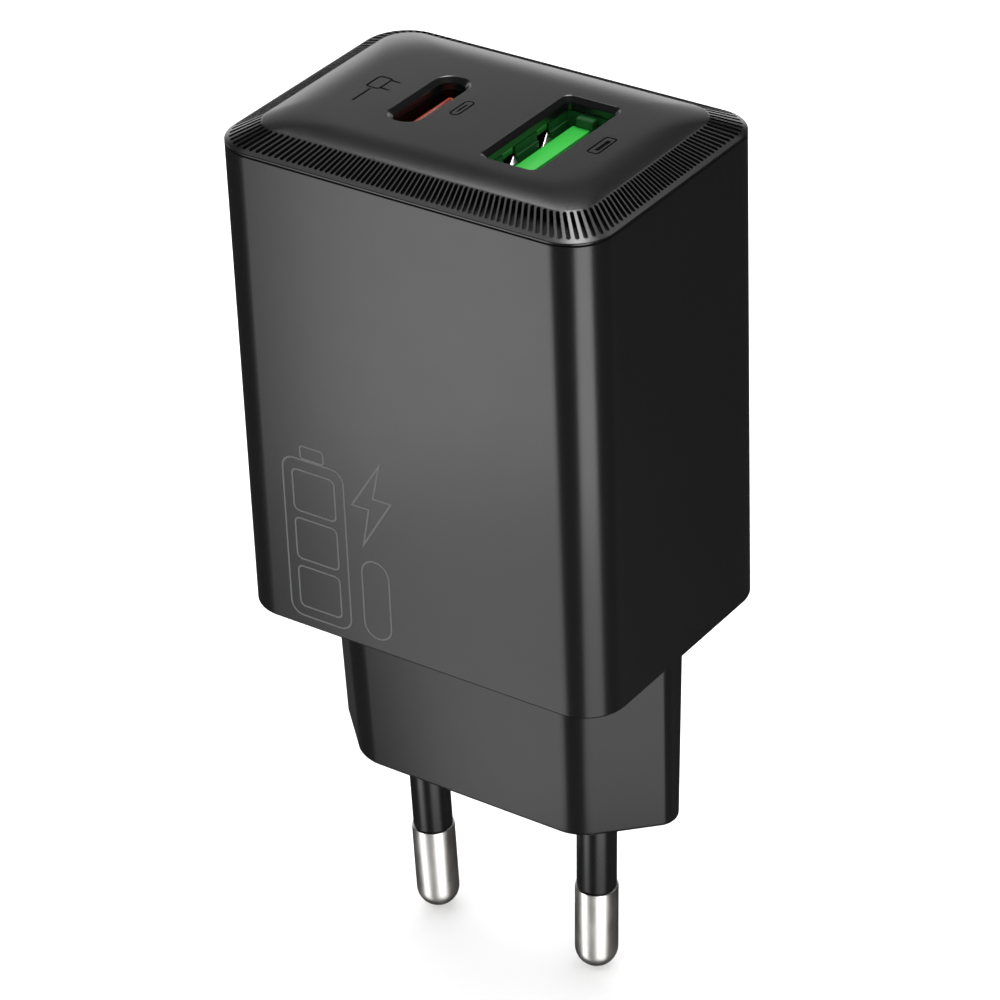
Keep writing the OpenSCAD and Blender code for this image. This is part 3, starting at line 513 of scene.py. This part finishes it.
class CHARGER_OT_stage(bpy.types.Operator):
    """Sets up the camera, the pale floor and the softboxes"""

    bl_idname = "charger.stage"
    bl_label = "Stage"

    def execute(self, context):
        scene = context.scene
        bpy.ops.object.camera_add()
        camera = context.object
        camera.name = "camera"
        camera.data.sensor_width = 36
        camera.data.lens = LENS
        camera.data.clip_start = 0.01
        camera.data.clip_end = 20
        down = CAMERA_FORWARD.cross(CAMERA_RIGHT).normalized()
        right = down.cross(CAMERA_FORWARD).normalized()
        turn = Matrix((right, -down, -CAMERA_FORWARD.normalized())).transposed()
        camera.matrix_world = Matrix.Translation(CAMERA_AT * MM) @ turn.to_4x4()
        scene.camera = camera

        bpy.ops.object.select_all(action="DESELECT")
        bpy.ops.mesh.primitive_plane_add(size=6, location=(0, 0, CAD_BOX[0][2] - 0.0002))
        floor = context.object
        floor.name = "floor"
        bpy.ops.object.transform_apply()
        floor.data.materials.append(stage_surface("pale studio floor", (0.96, 0.96, 0.96)))
        floor.visible_glossy = False
        floor.visible_shadow = False

        world = bpy.data.worlds.new("studio")
        world.use_nodes = True
        world.node_tree.nodes["Background"].inputs["Color"].default_value = (1, 1, 1, 1)
        world.node_tree.nodes["Background"].inputs["Strength"].default_value = 1.3
        world.cycles_visibility.glossy = False
        scene.world = world
        scene.view_settings.view_transform = "Standard"

        # The front wall mirrors a box low on its left, whose edges lie across the wall's own reflection
        soft_light("front reflector", -125.5, -31, 160, (72, 80), 2.55, shift=(20, 48))
        soft_light("front reflector core", -125.5, -31, 160, (36, 80), 0.95, shift=(38, 48))
        soft_light("front reflector foot", -125.5, -31, 160, (72, 70), 1.38, shift=(20, -27))
        # The upright edge between front and right mirrors a wide box low on the right
        soft_light("edge strip", -35, -31, 160, (98, 90), 3.3, shift=(0, 55))
        soft_light("edge strip foot", -35, -31, 160, (98, 66), 1.35, shift=(0, -23))
        # A faint surround keeps the dark walls from going dead black
        for azimuth in (0, 90, 180, 270):
            soft_light(f"surround {azimuth}", azimuth, -31, 600, (1200, 700), 0.04)
        # Backdrop behind the cover, up to the angle at which the flat top mirrors it
        soft_light("backdrop", 140, 6, 400, (950, 150), 1.7, aim=(0, 0, 65))
        soft_light("upper backdrop", 136, 21, 400, (420, 80), 0.6, aim=(0, 0, 65))
        # Overhead boxes, which light the rim of the crown and the ribs of the near corner
        soft_light("overhead box", 178, 62, 300, (110, 110), 1.0, aim=(0, 0, 65))
        soft_light("crown strip", 134, 57, 300, (140, 55), 5.8, aim=(0, 0, 65))
        soft_light("overhead spot", 88, 80, 300, (120, 120), 12.0, aim=(0, 0, 65))
        soft_light("rib box", 80, 47, 300, (120, 80), 1.3, aim=(0, 0, 65))
        return {"FINISHED"}


# ---------------------------------------------------------------- case

class CHARGER_OT_case(bpy.types.Operator):
    """Models the case: a cup with a rounded foot, the eight-sided plug part under it, and its pin holes"""

    bl_idname = "charger.case"
    bl_label = "Case"

    def execute(self, context):
        settings = context.scene.charger
        size, pins = settings.case, settings.pins
        top = CASE_HIGH.z
        rim = size.rim_bevel

        def level(inset, z):
            return outline(CASE_W - 2 * inset, CASE_D - 2 * inset, size.corner_r - inset, z)

        foot = [(size.foot_r * (1 - math.sin(math.radians(a))),
                 size.foot_z + size.foot_r * (1 - math.cos(math.radians(a)))) for a in EDGE_ANGLES]
        lip = [(0, top - 1.2 * rim), (0.25 * rim, top - 0.35 * rim), (rim, top)]
        inside = [(size.wall, top), (size.wall, size.foot_z + size.wall)]
        case = loft([level(*step) for step in foot + lip + inside])

        def plug_level(inset, z):
            grow = size.plug_draft * z / size.foot_z
            cut = size.plug_cut - inset * (2 - math.sqrt(2))
            depth = size.plug_d + 2 * (grow - inset)
            largest = 0.48 * (depth - 2 * cut) / math.tan(math.radians(22.5))
            return outline(size.plug_w + 2 * (grow - inset), depth, cut, z, steps=1,
                           second=(size.plug_edge_r - inset, min(size.plug_side_r, largest)))

        edge = size.plug_face_r
        steps = [(edge * (1 - math.sin(math.radians(a))), edge * (1 - math.cos(math.radians(a))))
                 for a in EDGE_ANGLES]
        steps.append((0, size.foot_z + size.wall / 2))
        boolean(case, loft([plug_level(*step) for step in steps]), "UNION")
        hollow = (size.face_t, size.foot_z + 1.5 * size.wall)
        boolean(case, loft([plug_level(size.plug_wall, z) for z in hollow]))
        for side in (-1, 1):
            hole = loft([circle(pins.hole_r, z) for z in (-2, size.face_t + 2)])
            hole.data.transform(pin_place(side, pins))
            boolean(case, hole)
        finish(case, "case_shell", case_plastic(settings), "case_plastic", ["case_body"])
        return {"FINISHED"}


def pin_place(side, pins):
    """Where a pin's own axis lies: 0 on the plug face, up into the plug."""
    axis = Vector(PIN_MOUNTS["pin_right" if side > 0 else "pin_left"]["axis"])
    turn = Vector((0, 0, -1)).rotation_difference(axis)
    return Matrix.Translation((side * pins.pitch / 2, 0, 0)) @ turn.to_matrix().to_4x4()


class CHARGER_OT_pins(bpy.types.Operator):
    """Models both pins: a half-ball tip, a waist under the sleeve, a collar and a riveted head"""

    bl_idname = "charger.pins"
    bl_label = "Pins"

    def execute(self, context):
        pins = context.scene.charger.pins
        finish_metal = pin_nickel()
        r = PIN_MOUNTS["pin_left"]["dims"]["r_mm"]
        waist = pins.tip_l - pins.length
        ball = [(r * math.sin(math.radians(a)), r * (1 - math.cos(math.radians(a))) - pins.length)
                for a in (4, 12, 22, 32, 42, 52, 62, 72, 81, 90)]
        shoulder = [(r, waist - 0.12), (r - 0.03, waist - 0.04), (r - 0.1, waist), (pins.core_r, waist)]
        collar = [(pins.core_r, 2.7), (2.6, 2.7), (2.6, 3.5), (pins.core_r, 3.5)]
        head = [(pins.core_r, 12), (1.0, 12), (1.0, 13.6), (0.85, 13.7)]
        for side, name in ((-1, "pin_left"), (1, "pin_right")):
            pin = loft([circle(*step) for step in ball + shoulder + collar + head])
            pin.data.transform(pin_place(side, pins))
            finish(pin, name + "_turned", finish_metal, "pin_nickel", [name], smooth=30)
        return {"FINISHED"}


class CHARGER_OT_sleeves(bpy.types.Operator):
    """Models the insulating sleeves moulded onto the pins"""

    bl_idname = "charger.sleeves"
    bl_label = "Sleeves"

    def execute(self, context):
        pins = context.scene.charger.pins
        nylon = sleeve_plastic()
        low = pins.tip_l - pins.length
        wall = [(pins.core_r, low), (pins.sleeve_r - 0.08, low), (pins.sleeve_r - 0.02, low + 0.03),
                (pins.sleeve_r, low + 0.1), (pins.sleeve_r, 2.6), (pins.core_r, 2.6)]
        for side, name in ((-1, "sleeve_left"), (1, "sleeve_right")):
            sleeve = loft([circle(*step) for step in wall], closed=True)
            sleeve.data.transform(pin_place(side, pins))
            finish(sleeve, name + "_moulded", nylon, "sleeve_plastic", [name], smooth=30)
        return {"FINISHED"}


class CHARGER_OT_pin_lights(bpy.types.Operator):
    """Places the two low softboxes that only the pins and their sleeves reflect"""

    bl_idname = "charger.pin_lights"
    bl_label = "Pin lights"

    def execute(self, context):
        pins = ("pin_left_turned", "pin_right_turned")
        sleeves = ("sleeve_left_moulded", "sleeve_right_moulded")
        for azimuth, width in ((-117, 60), (-30, 110)):
            for name, pieces, radiance in (("pin", pins, 1.35), ("sleeve", sleeves, 0.95)):
                soft_light(f"{name} box {azimuth}", azimuth, -31, 160, (width, 160), radiance,
                           aim=(0, 0, -10), only=pieces)
        soft_light("pin fill", -75, -31, 200, (500, 300), 0.2, aim=(0, 0, -10), only=pins)
        return {"FINISHED"}


# ---------------------------------------------------------------- cover

SLOT_CROWDING = 0.112            # how much closer the slots stand at the middle of a side


def slot_lines(size, corner):
    """Outer and inner point of every slot, at equal shares of the band's two outlines."""
    rim = 0.42                   # plain rim outside the slots
    half = Vector((CASE_W / 2, CASE_D / 2))
    lines = []
    for along, across, count in ((0, 1, size.slots_wide), (1, 0, size.slots_narrow)):
        for way in (-1, 1):
            for i in range(count):
                t = (2 * i + 1) / count - 1
                t = (1 - SLOT_CROWDING) * t + SLOT_CROWDING * t ** 3
                ends = []
                for inset, radius in ((rim, corner - rim), (size.band_w, size.band_inner_r)):
                    point = Vector((0, 0))
                    reach = half[along] - corner if inset == rim else half[along] - inset - radius
                    point[along] = t * reach
                    point[across] = way * (half[across] - inset)
                    ends.append(point)
                lines.append(tuple(ends))
    for sx in (-1, 1):
        for sy in (-1, 1):
            for i in range(size.slots_corner):
                a = math.pi / 2 * (i + 0.5) / size.slots_corner
                ends = []
                for inset, radius in ((rim, corner - rim), (size.band_w, size.band_inner_r)):
                    ends.append(Vector((sx * (half.x - inset - radius + radius * math.cos(a)),
                                        sy * (half.y - inset - radius + radius * math.sin(a)))))
                lines.append(tuple(ends))
    return lines


def slot_cutters(size, corner, edge_z):
    """One solid per slot: a round-ended bar laid along the slot's floor."""
    low, high = edge_z + 0.05, edge_z + 0.27      # the floor's height at a slot's outer and inner end
    master = loft([circle(size.slot_w / 2, z, steps=12) for z in (0, 1.1)])
    cutters = []
    for outer, inner in slot_lines(size, corner):
        run = inner - outer
        start, end = Vector((*outer, low)), Vector((*inner, high))
        cutter = master.copy()
        cutter.data = master.data.copy()
        bpy.context.scene.collection.objects.link(cutter)
        for vertex in cutter.data.vertices:
            if vertex.co.x > 1e-4:
                vertex.co.x += (end - start).length - size.slot_w
        turn = (Matrix.Rotation(math.atan2(run.y, run.x), 4, "Z")
                @ Matrix.Rotation(-math.atan2(high - low, run.length), 4, "Y"))
        cutter.data.transform(Matrix.Translation(start) @ turn @ Matrix.Translation((size.slot_w / 2, 0, 0)))
        cutters.append(cutter)
    bpy.data.objects.remove(master)
    return merge(cutters)


def opening(width, length, radius, bevel, x):
    """A straight opening with a bevelled mouth whose edges are slightly softened."""
    steps = [(0, TOP_Z - 3), (0, TOP_Z - bevel - 0.05), (0.03, TOP_Z - bevel + 0.03),
             (bevel - 0.03, TOP_Z - 0.04), (bevel + 0.05, TOP_Z), (bevel + 0.05, TOP_Z + 1)]
    return loft([outline(width + 2 * grow, length + 2 * grow, radius + grow, z, (x, 0), steps=12)
                 for grow, z in steps])


def frame_mark(width, length, radius, line, centre, depth):
    """An engraved closed line."""
    low, high = TOP_Z - depth, TOP_Z + 0.5
    return loft([outline(width + 2 * grow, length + 2 * grow, max(radius + grow, 0.02), z, centre, steps=8)
                 for grow, z in ((0, low), (0, high), (-line, high), (-line, low))], closed=True)


def mark(points, centre, depth):
    """An engraved solid shape."""
    return prism([(centre[0] + x, centre[1] + y) for x, y in points], TOP_Z - depth, TOP_Z + 0.5)


def top_marks(size):
    """Generic engraved marks: a plug beside the USB-C port, and an outline of each port's own shape."""
    depth = size.engraving
    marks = [frame_mark(1.0, 2.9, 0.49, 0.17, (-2.2, -0.1), depth),
             frame_mark(1.2, 3.2, 0.3, 0.17, (11.6, 0), depth)]
    dash = [(-0.09, -0.75), (0.09, -0.75), (0.09, 0.75), (-0.09, 0.75)]
    marks.append(mark(dash, (-2.2, -0.1), depth))
    marks.append(mark([(x * 2.2, y * 1.3) for x, y in dash], (11.7, 0), depth))
    marks.append(frame_mark(1.5, 2.3, 0.4, 0.2, (-11.0, 0.4), depth))
    for y in (-0.4, 1.2):
        marks.append(mark([(-0.5, -0.1), (0.5, -0.1), (0.5, 0.1), (-0.5, 0.1)], (-9.9, y), depth))
    marks.append(mark([(-0.1, -1.3), (0.1, -1.3), (0.1, 1.3), (-0.1, 1.3)], (-11.0, -2.2), depth))
    return marks


class CHARGER_OT_cover(bpy.types.Operator):
    """Models the cover: skirt, sharp edge, slotted band, crown, port openings and engraved marks"""

    bl_idname = "charger.cover"
    bl_label = "Cover"

    def execute(self, context):
        settings = context.scene.charger
        size, ports = settings.cover, settings.ports
        edge_z = TOP_Z - size.crown_rise - size.band_rise
        seam = CASE_HIGH.z
        skirt = settings.case.wall + size.skirt_gap
        corner = settings.case.corner_r

        def level(inset, z, radius=None):
            radius = corner - inset if radius is None else radius
            return outline(CASE_W - 2 * inset, CASE_D - 2 * inset, radius, z)

        steps = [(skirt, seam - size.skirt_h), (skirt, seam), (0.3, seam), (0.06, seam + 0.04),
                 (0, seam + 0.1), (0, edge_z - 0.03), (0.03, edge_z + 0.03)]
        steps.append((size.band_w, edge_z + size.band_rise, size.band_inner_r))
        for t in (0.04, 0.1, 0.18, 0.27, 0.37, 0.48, 0.6, 0.73, 0.87, 1):
            inset = size.band_w + size.crown_w * t
            steps.append((inset, TOP_Z - size.crown_rise * (1 - t) ** size.crown_power,
                          size.band_inner_r + size.crown_w * t * 0.45))
        cover = loft([level(*step) for step in steps])
        under = SHELL_A_HIGH.z + 0.1
        pocket = size.band_w + size.pocket_wall
        boolean(cover, loft([outline(CASE_W - 2 * pocket, CASE_D - 2 * pocket, 1.1, z)
                             for z in (seam - 4, under)]))
        board_low, board_high = node_box("port_board")
        inset = 1.6                      # of the posts from the board's edges
        for x in (board_low.x + inset, board_high.x - inset):
            for y in (board_low.y + inset, board_high.y - inset):
                post = loft([circle(size.post_r, z, (x, y), steps=24) for z in (COVER_LOW.z, under + 0.3)])
                boolean(cover, post, "UNION")
        boolean(cover, slot_cutters(size, corner, edge_z))
        boolean(cover, opening(ports.a_w, ports.a_l, 0.5, ports.bevel, PORT_A_X))
        boolean(cover, opening(ports.c_w, ports.c_l, ports.c_w / 2 * 0.998, ports.bevel, PORT_C_X))
        for shape in top_marks(size):
            boolean(cover, shape)
        finish(cover, "cover_moulding", cover_plastic(settings), "cover_plastic", ["top_cover"])
        return {"FINISHED"}


# ---------------------------------------------------------------- front drawing

def flat_line(points, line, depth):
    """A closed printed line round an outline of points, lying on the front wall; x and z of the points."""
    bpy.ops.object.select_all(action="DESELECT")
    bpy.ops.mesh.primitive_circle_add(vertices=len(points), radius=1, fill_type="NGON")
    shape = bpy.context.object
    for vertex, (x, z) in zip(shape.data.vertices, points):
        vertex.co = (x, CASE_LOW.y, z)
    with editing(shape):
        bpy.ops.mesh.select_all(action="SELECT")
        bpy.ops.mesh.inset(thickness=line, depth=0)
        bpy.ops.mesh.delete(type="FACE")
        bpy.ops.mesh.select_all(action="SELECT")
        bpy.ops.mesh.extrude_region_move(TRANSFORM_OT_translate={"value": (0, -depth, 0)})
        bpy.ops.mesh.select_all(action="SELECT")
        bpy.ops.mesh.normals_make_consistent(inside=False)
    return shape


def rounded(x0, x1, z0, z1, r, steps=6):
    """Outline of a round-cornered rectangle."""
    points = []
    corners = ((x1 - r, z1 - r, 0), (x0 + r, z1 - r, 90), (x0 + r, z0 + r, 180), (x1 - r, z0 + r, 270))
    for cx, cz, start in corners:
        for i in range(steps + 1):
            a = math.radians(start + 90 * i / steps)
            points.append((cx + r * math.cos(a), cz + r * math.sin(a)))
    return points


class CHARGER_OT_print(bpy.types.Operator):
    """Draws the printed lines on the front: a standing battery with three bars, a bolt and a pill"""

    bl_idname = "charger.front_print"
    bl_label = "Front print"

    def execute(self, context):
        size = context.scene.charger.front_print
        x, z = size.left, size.bottom
        shapes = [rounded(x, x + 6.6, z, z + 16.2, 1.3), rounded(x + 2.0, x + 4.6, z + 16.2, z + 17.6, 0.35)]
        shapes += [rounded(x + 1.0, x + 5.6, z + 1.0 + 4.9 * i, z + 5.3 + 4.9 * i, 0.6) for i in range(3)]
        bolt = [(3.6, 9.2), (0.2, 4.0), (2.0, 4.0), (1.2, 0.0), (4.6, 5.4), (2.7, 5.4)]
        shapes.append([(x + 7.0 + bx, z + 9.2 + bz) for bx, bz in bolt])
        shapes.append(rounded(x + 7.9, x + 10.9, z + 0.2, z + 8.2, 1.49))
        lines = merge([flat_line(points, size.line, size.ink) for points in shapes])
        finish(lines, "front_drawing", printed_ink(), "case_plastic")
        return {"FINISHED"}


# ---------------------------------------------------------------- ports

def bar(low, high):
    """A straight box between two corners."""
    points = [(low[0], low[1]), (high[0], low[1]), (high[0], high[1]), (low[0], high[1])]
    return prism(points, low[2], high[2])


class CHARGER_OT_port_a(bpy.types.Operator):
    """Models the USB-A port: its green lining and tongue, and the four fingers that grip a plug"""

    bl_idname = "charger.port_a"
    bl_label = "USB-A port"

    def execute(self, context):
        settings = context.scene.charger
        size = settings.ports
        low, high = node_box("usb_a_insulator")
        width, length = high.x - low.x, high.y - low.y
        grip_low, grip_high = node_box("usb_a_grip_inner")
        centre = (PORT_A_X, 0)
        base_z, ledge_z, tongue_z = low.z + 2.5, high.z - 0.8, high.z - 0.9
        edge = 0.38                      # radius of the lining's outer corners
        lining, thin = 0.28, 0.12        # its wall below the ledge and above it

        moulding = loft([outline(width, length, edge, z, centre, steps=6) for z in (low.z, base_z)])
        wall = [(0, base_z - 0.2), (0, high.z), (thin, high.z), (thin, ledge_z), (lining, ledge_z - 0.04),
                (lining, base_z - 0.2)]
        boolean(moulding, loft([outline(width - 2 * g, length - 2 * g, edge - g, z, centre, steps=6)
                                for g, z in wall], closed=True), "UNION")
        tongue_x = PORT_A_X + size.tongue_off
        tongue = [(0, low.z + 2), (0, tongue_z - 0.1), (-0.03, tongue_z - 0.03), (-0.1, tongue_z)]
        blade = loft([outline(size.tongue_w + 2 * g, size.tongue_l + 2 * g, 0.2 + g, z, (tongue_x, 0),
                              steps=6) for g, z in tongue])
        # A block in the far end of the lining, which keys the plug
        key = [(0, base_z - 0.2), (0, high.z - 0.15), (-0.08, high.z - 0.05)]
        boolean(moulding, loft([outline(1.7 + 2 * g, 0.8 + 2 * g, 0.1 + g, z,
                                        (tongue_x + 0.35, high.y - lining - 0.35), steps=4) for g, z in key]),
                "UNION")
        # Windows in both long walls, which the fingers spread into
        half = size.finger_w / 2 + size.spring_gap
        for y in (-size.finger_y, size.finger_y):
            boolean(moulding, bar((low.x - 1, y - half, grip_low.z - size.spring_gap),
                                  (low.x + 2 * lining, y + half, high.z + 1)))
            boolean(moulding, bar((high.x - 2 * lining, y - half, grip_low.z - size.spring_gap),
                                  (high.x + 1, y + half, high.z + 1)))
        # Grooves that the contact beams bend into
        side_x = tongue_x + size.tongue_w / 2
        groove = BEAM_W / 2 + size.spring_gap
        for y in BEAM_Y:
            boolean(blade, bar((side_x - 0.62, y - groove, low.z + 1.55),
                               (side_x + 0.3, y + groove, tongue_z - 0.7)))
        # The lining's darker green is painted shade of the port's deep walls; the tongue keeps the plain green
        finish(moulding, "usb_a_lining", shade_darkened_lining_green(), "green_moulding", ["usb_a_insulator"], smooth=25)
        finish(blade, "usb_a_blade", green_moulding(settings), "green_moulding", smooth=25)

        steel = spring_steel()
        top = grip_high.z
        bend = top - 0.75
        # Distance out from the port's middle, height, thickness, width and sideways lean of the tip
        shape = [(2.80, grip_low.z, 0.18, size.finger_w, 0), (2.24, bend - 0.4, 0.18, size.finger_w, 0),
                 (2.20, bend, 0.18, size.finger_w, 0), (2.23, bend + 0.1, 0.17, size.finger_w, 0),
                 (2.62, top - 0.1, 0.12, 0.3, 0.6), (2.66, top, 0.08, 0.12, 0.66)]
        for side, name in ((-1, "grip_inner"), (1, "grip_outer")):
            fingers = [loft([outline(thick, wide, 0.04, z, (PORT_A_X + side * out, y + lean), steps=2)
                             for out, z, thick, wide, lean in shape])
                       for y in (-size.finger_y, size.finger_y)]
            finish(merge(fingers), "usb_a_fingers_" + name, steel, "spring_steel", ["usb_a_" + name],
                   body=name, smooth=35)
        # The bent tips of the fingers mirror a small box high on the right
        soft_light("finger box", 50, 35, 300, (260, 200), 3.5, aim=(0, 0, 65),
                   only=("usb_a_fingers_grip_inner", "usb_a_fingers_grip_outer"))
        return {"FINISHED"}


class CHARGER_OT_port_c(bpy.types.Operator):
    """Models the steel plate in the USB-C tongue, whose rounded edge shows as a bright line"""

    bl_idname = "charger.port_c"
    bl_label = "USB-C port"

    def execute(self, context):
        low, high = node_box("usb_c_mid_plate")
        thick, length = high.x - low.x, high.y - low.y
        shape = [(0, low.z), (0, high.z - 0.06), (-0.015, high.z - 0.025), (-0.045, high.z)]
        plate = loft([outline(thick + 2 * g, length + 2 * g, 0.06 + g, z, (PORT_C_X, 0), steps=3)
                      for g, z in shape])
        finish(plate, "usb_c_plate", spring_steel(), "spring_steel", ["usb_c_mid_plate"], smooth=60)
        return {"FINISHED"}


# ---------------------------------------------------------------- inner pieces

class CHARGER_OT_inner(bpy.types.Operator):
    """Gives every inner piece the finish of its real material"""

    bl_idname = "charger.inner"
    bl_label = "Inner pieces"

    def execute(self, context):
        settings = context.scene.charger
        black = moulded("black phenolic", srgb("#1c1c1e"), 0.5, grain=0.2, depth=0.004)
        chip = moulded("black chip epoxy", srgb("#161618"), 0.55, grain=0.08, depth=0.003)
        board = moulded("green solder mask", srgb("#12512c"), 0.28, grain=0.6, depth=0.006, tone=0.18)
        ferrite = moulded("sintered ferrite", srgb("#39393c"), 0.6, grain=0.1, depth=0.006, tone=0.2)
        bronze = metal("phosphor bronze", srgb("#cfa46a"), 0.3)
        gold = metal("gold-flashed bronze", srgb("#e2bd74"), 0.22)
        sleeve = moulded("dark blue shrink sleeve", srgb("#1d2a4a"), 0.25, grain=1.2, depth=0.01)
        can = metal("drawn aluminium can", srgb("#d3d4d6"), 0.25)
        # The USB-C shell's dark grey is painted shade of the dark inside of the port
        shade_darkened_shell = metal("drawn steel darkened for painted shade", srgb("#5c5a5c"), 0.3, scratch=0.15)
        finishes = {
            "pin_holder": moulded("natural PBT", srgb("#d8d3c4"), 0.5),
            "pin_contact_left": bronze, "pin_contact_right": bronze, "usb_a_contact_legs": bronze,
            "main_board": board, "port_board": board,
            "transformer_core_lower": ferrite, "transformer_core_upper": ferrite, "choke_core": ferrite,
            "transformer_bobbin": black, "fuse": black,
            "primary_winding": metal("enamelled copper", srgb("#c06a35"), 0.3, stretch=(1, 1, 6)),
            "choke_windings": metal("enamelled copper wire", srgb("#b8612e"), 0.3),
            "secondary_winding": moulded("triple-insulated wire", srgb("#dfba3a"), 0.35),
            "transformer_tape": moulded("polyester tape", srgb("#e6c52e"), 0.22, grain=1.5, depth=0.01),
            "x_capacitor": moulded("yellow potted box", srgb("#e0b526"), 0.3),
            "y_capacitor": moulded("blue epoxy dip", srgb("#2a66b8"), 0.25, grain=0.8, depth=0.01),
            "bulk_capacitor_upper": sleeve, "bulk_capacitor_lower": sleeve,
            "bridge_rectifier": chip, "gan_controller": chip, "rectifier_chip": chip,
            "optocoupler": chip, "protocol_chip": chip,
            "chip_passives": moulded("tan ceramic", srgb("#a5835a"), 0.45),
            "thermal_pad": moulded("grey-blue silicone", srgb("#8d99a8"), 0.7, grain=0.2, depth=0.01),
            "heat_plate": metal("rolled aluminium", srgb("#d0d1d3"), 0.32, stretch=(0.05, 1, 1)),
            "insulation_sheet": moulded("vulcanised fibre", srgb("#e2d9b8"), 0.7, grain=0.15, depth=0.01),
            "output_capacitor_front": can, "output_capacitor_rear": can,
            "output_inductor": moulded("pressed iron powder", srgb("#4a4a4c"), 0.65, grain=0.12, depth=0.01),
            "usb_a_shell": shell_steel(), "usb_c_shell": shade_darkened_shell,
            "usb_a_contact_beams": gold, "usb_c_contacts": gold,
            "usb_c_tongue": red_moulding(),
        }
        for name, material in finishes.items():
            node = frame["nodes"][name]
            node.data.materials.clear()
            node.data.materials.append(material)
            select_only(node)
            bpy.ops.object.shade_smooth_by_angle(angle=math.radians(25))
        return {"FINISHED"}


# ---------------------------------------------------------------- panel and registration

class CHARGER_PT_panel(bpy.types.Panel):
    """Lists the steps that build the charger"""

    bl_label = "Charger"
    bl_space_type = "VIEW_3D"
    bl_region_type = "UI"
    bl_category = "Charger"

    def draw(self, context):
        for operator in OPERATORS:
            self.layout.operator(operator.bl_idname)


SETTINGS = (CaseSettings, CoverSettings, PortSettings, PinSettings, PrintSettings, FinishSettings,
            ChargerSettings)
OPERATORS = (CHARGER_OT_stage, CHARGER_OT_case, CHARGER_OT_pins, CHARGER_OT_sleeves, CHARGER_OT_pin_lights,
             CHARGER_OT_cover, CHARGER_OT_print, CHARGER_OT_port_a, CHARGER_OT_port_c, CHARGER_OT_inner)


def register():
    for cls in (*SETTINGS, *OPERATORS, CHARGER_PT_panel):
        bpy.utils.register_class(cls)
    bpy.types.Scene.charger = PointerProperty(type=ChargerSettings)


def unregister():
    del bpy.types.Scene.charger
    for cls in reversed((*SETTINGS, *OPERATORS, CHARGER_PT_panel)):
        bpy.utils.unregister_class(cls)


def main():
    register()
    bpy.ops.charger.stage()
    bpy.ops.charger.case()
    bpy.ops.charger.pins()
    bpy.ops.charger.sleeves()
    bpy.ops.charger.pin_lights()
    bpy.ops.charger.cover()
    bpy.ops.charger.front_print()
    bpy.ops.charger.port_a()
    bpy.ops.charger.port_c()
    bpy.ops.charger.inner()


if __name__ == "__main__":
    main()
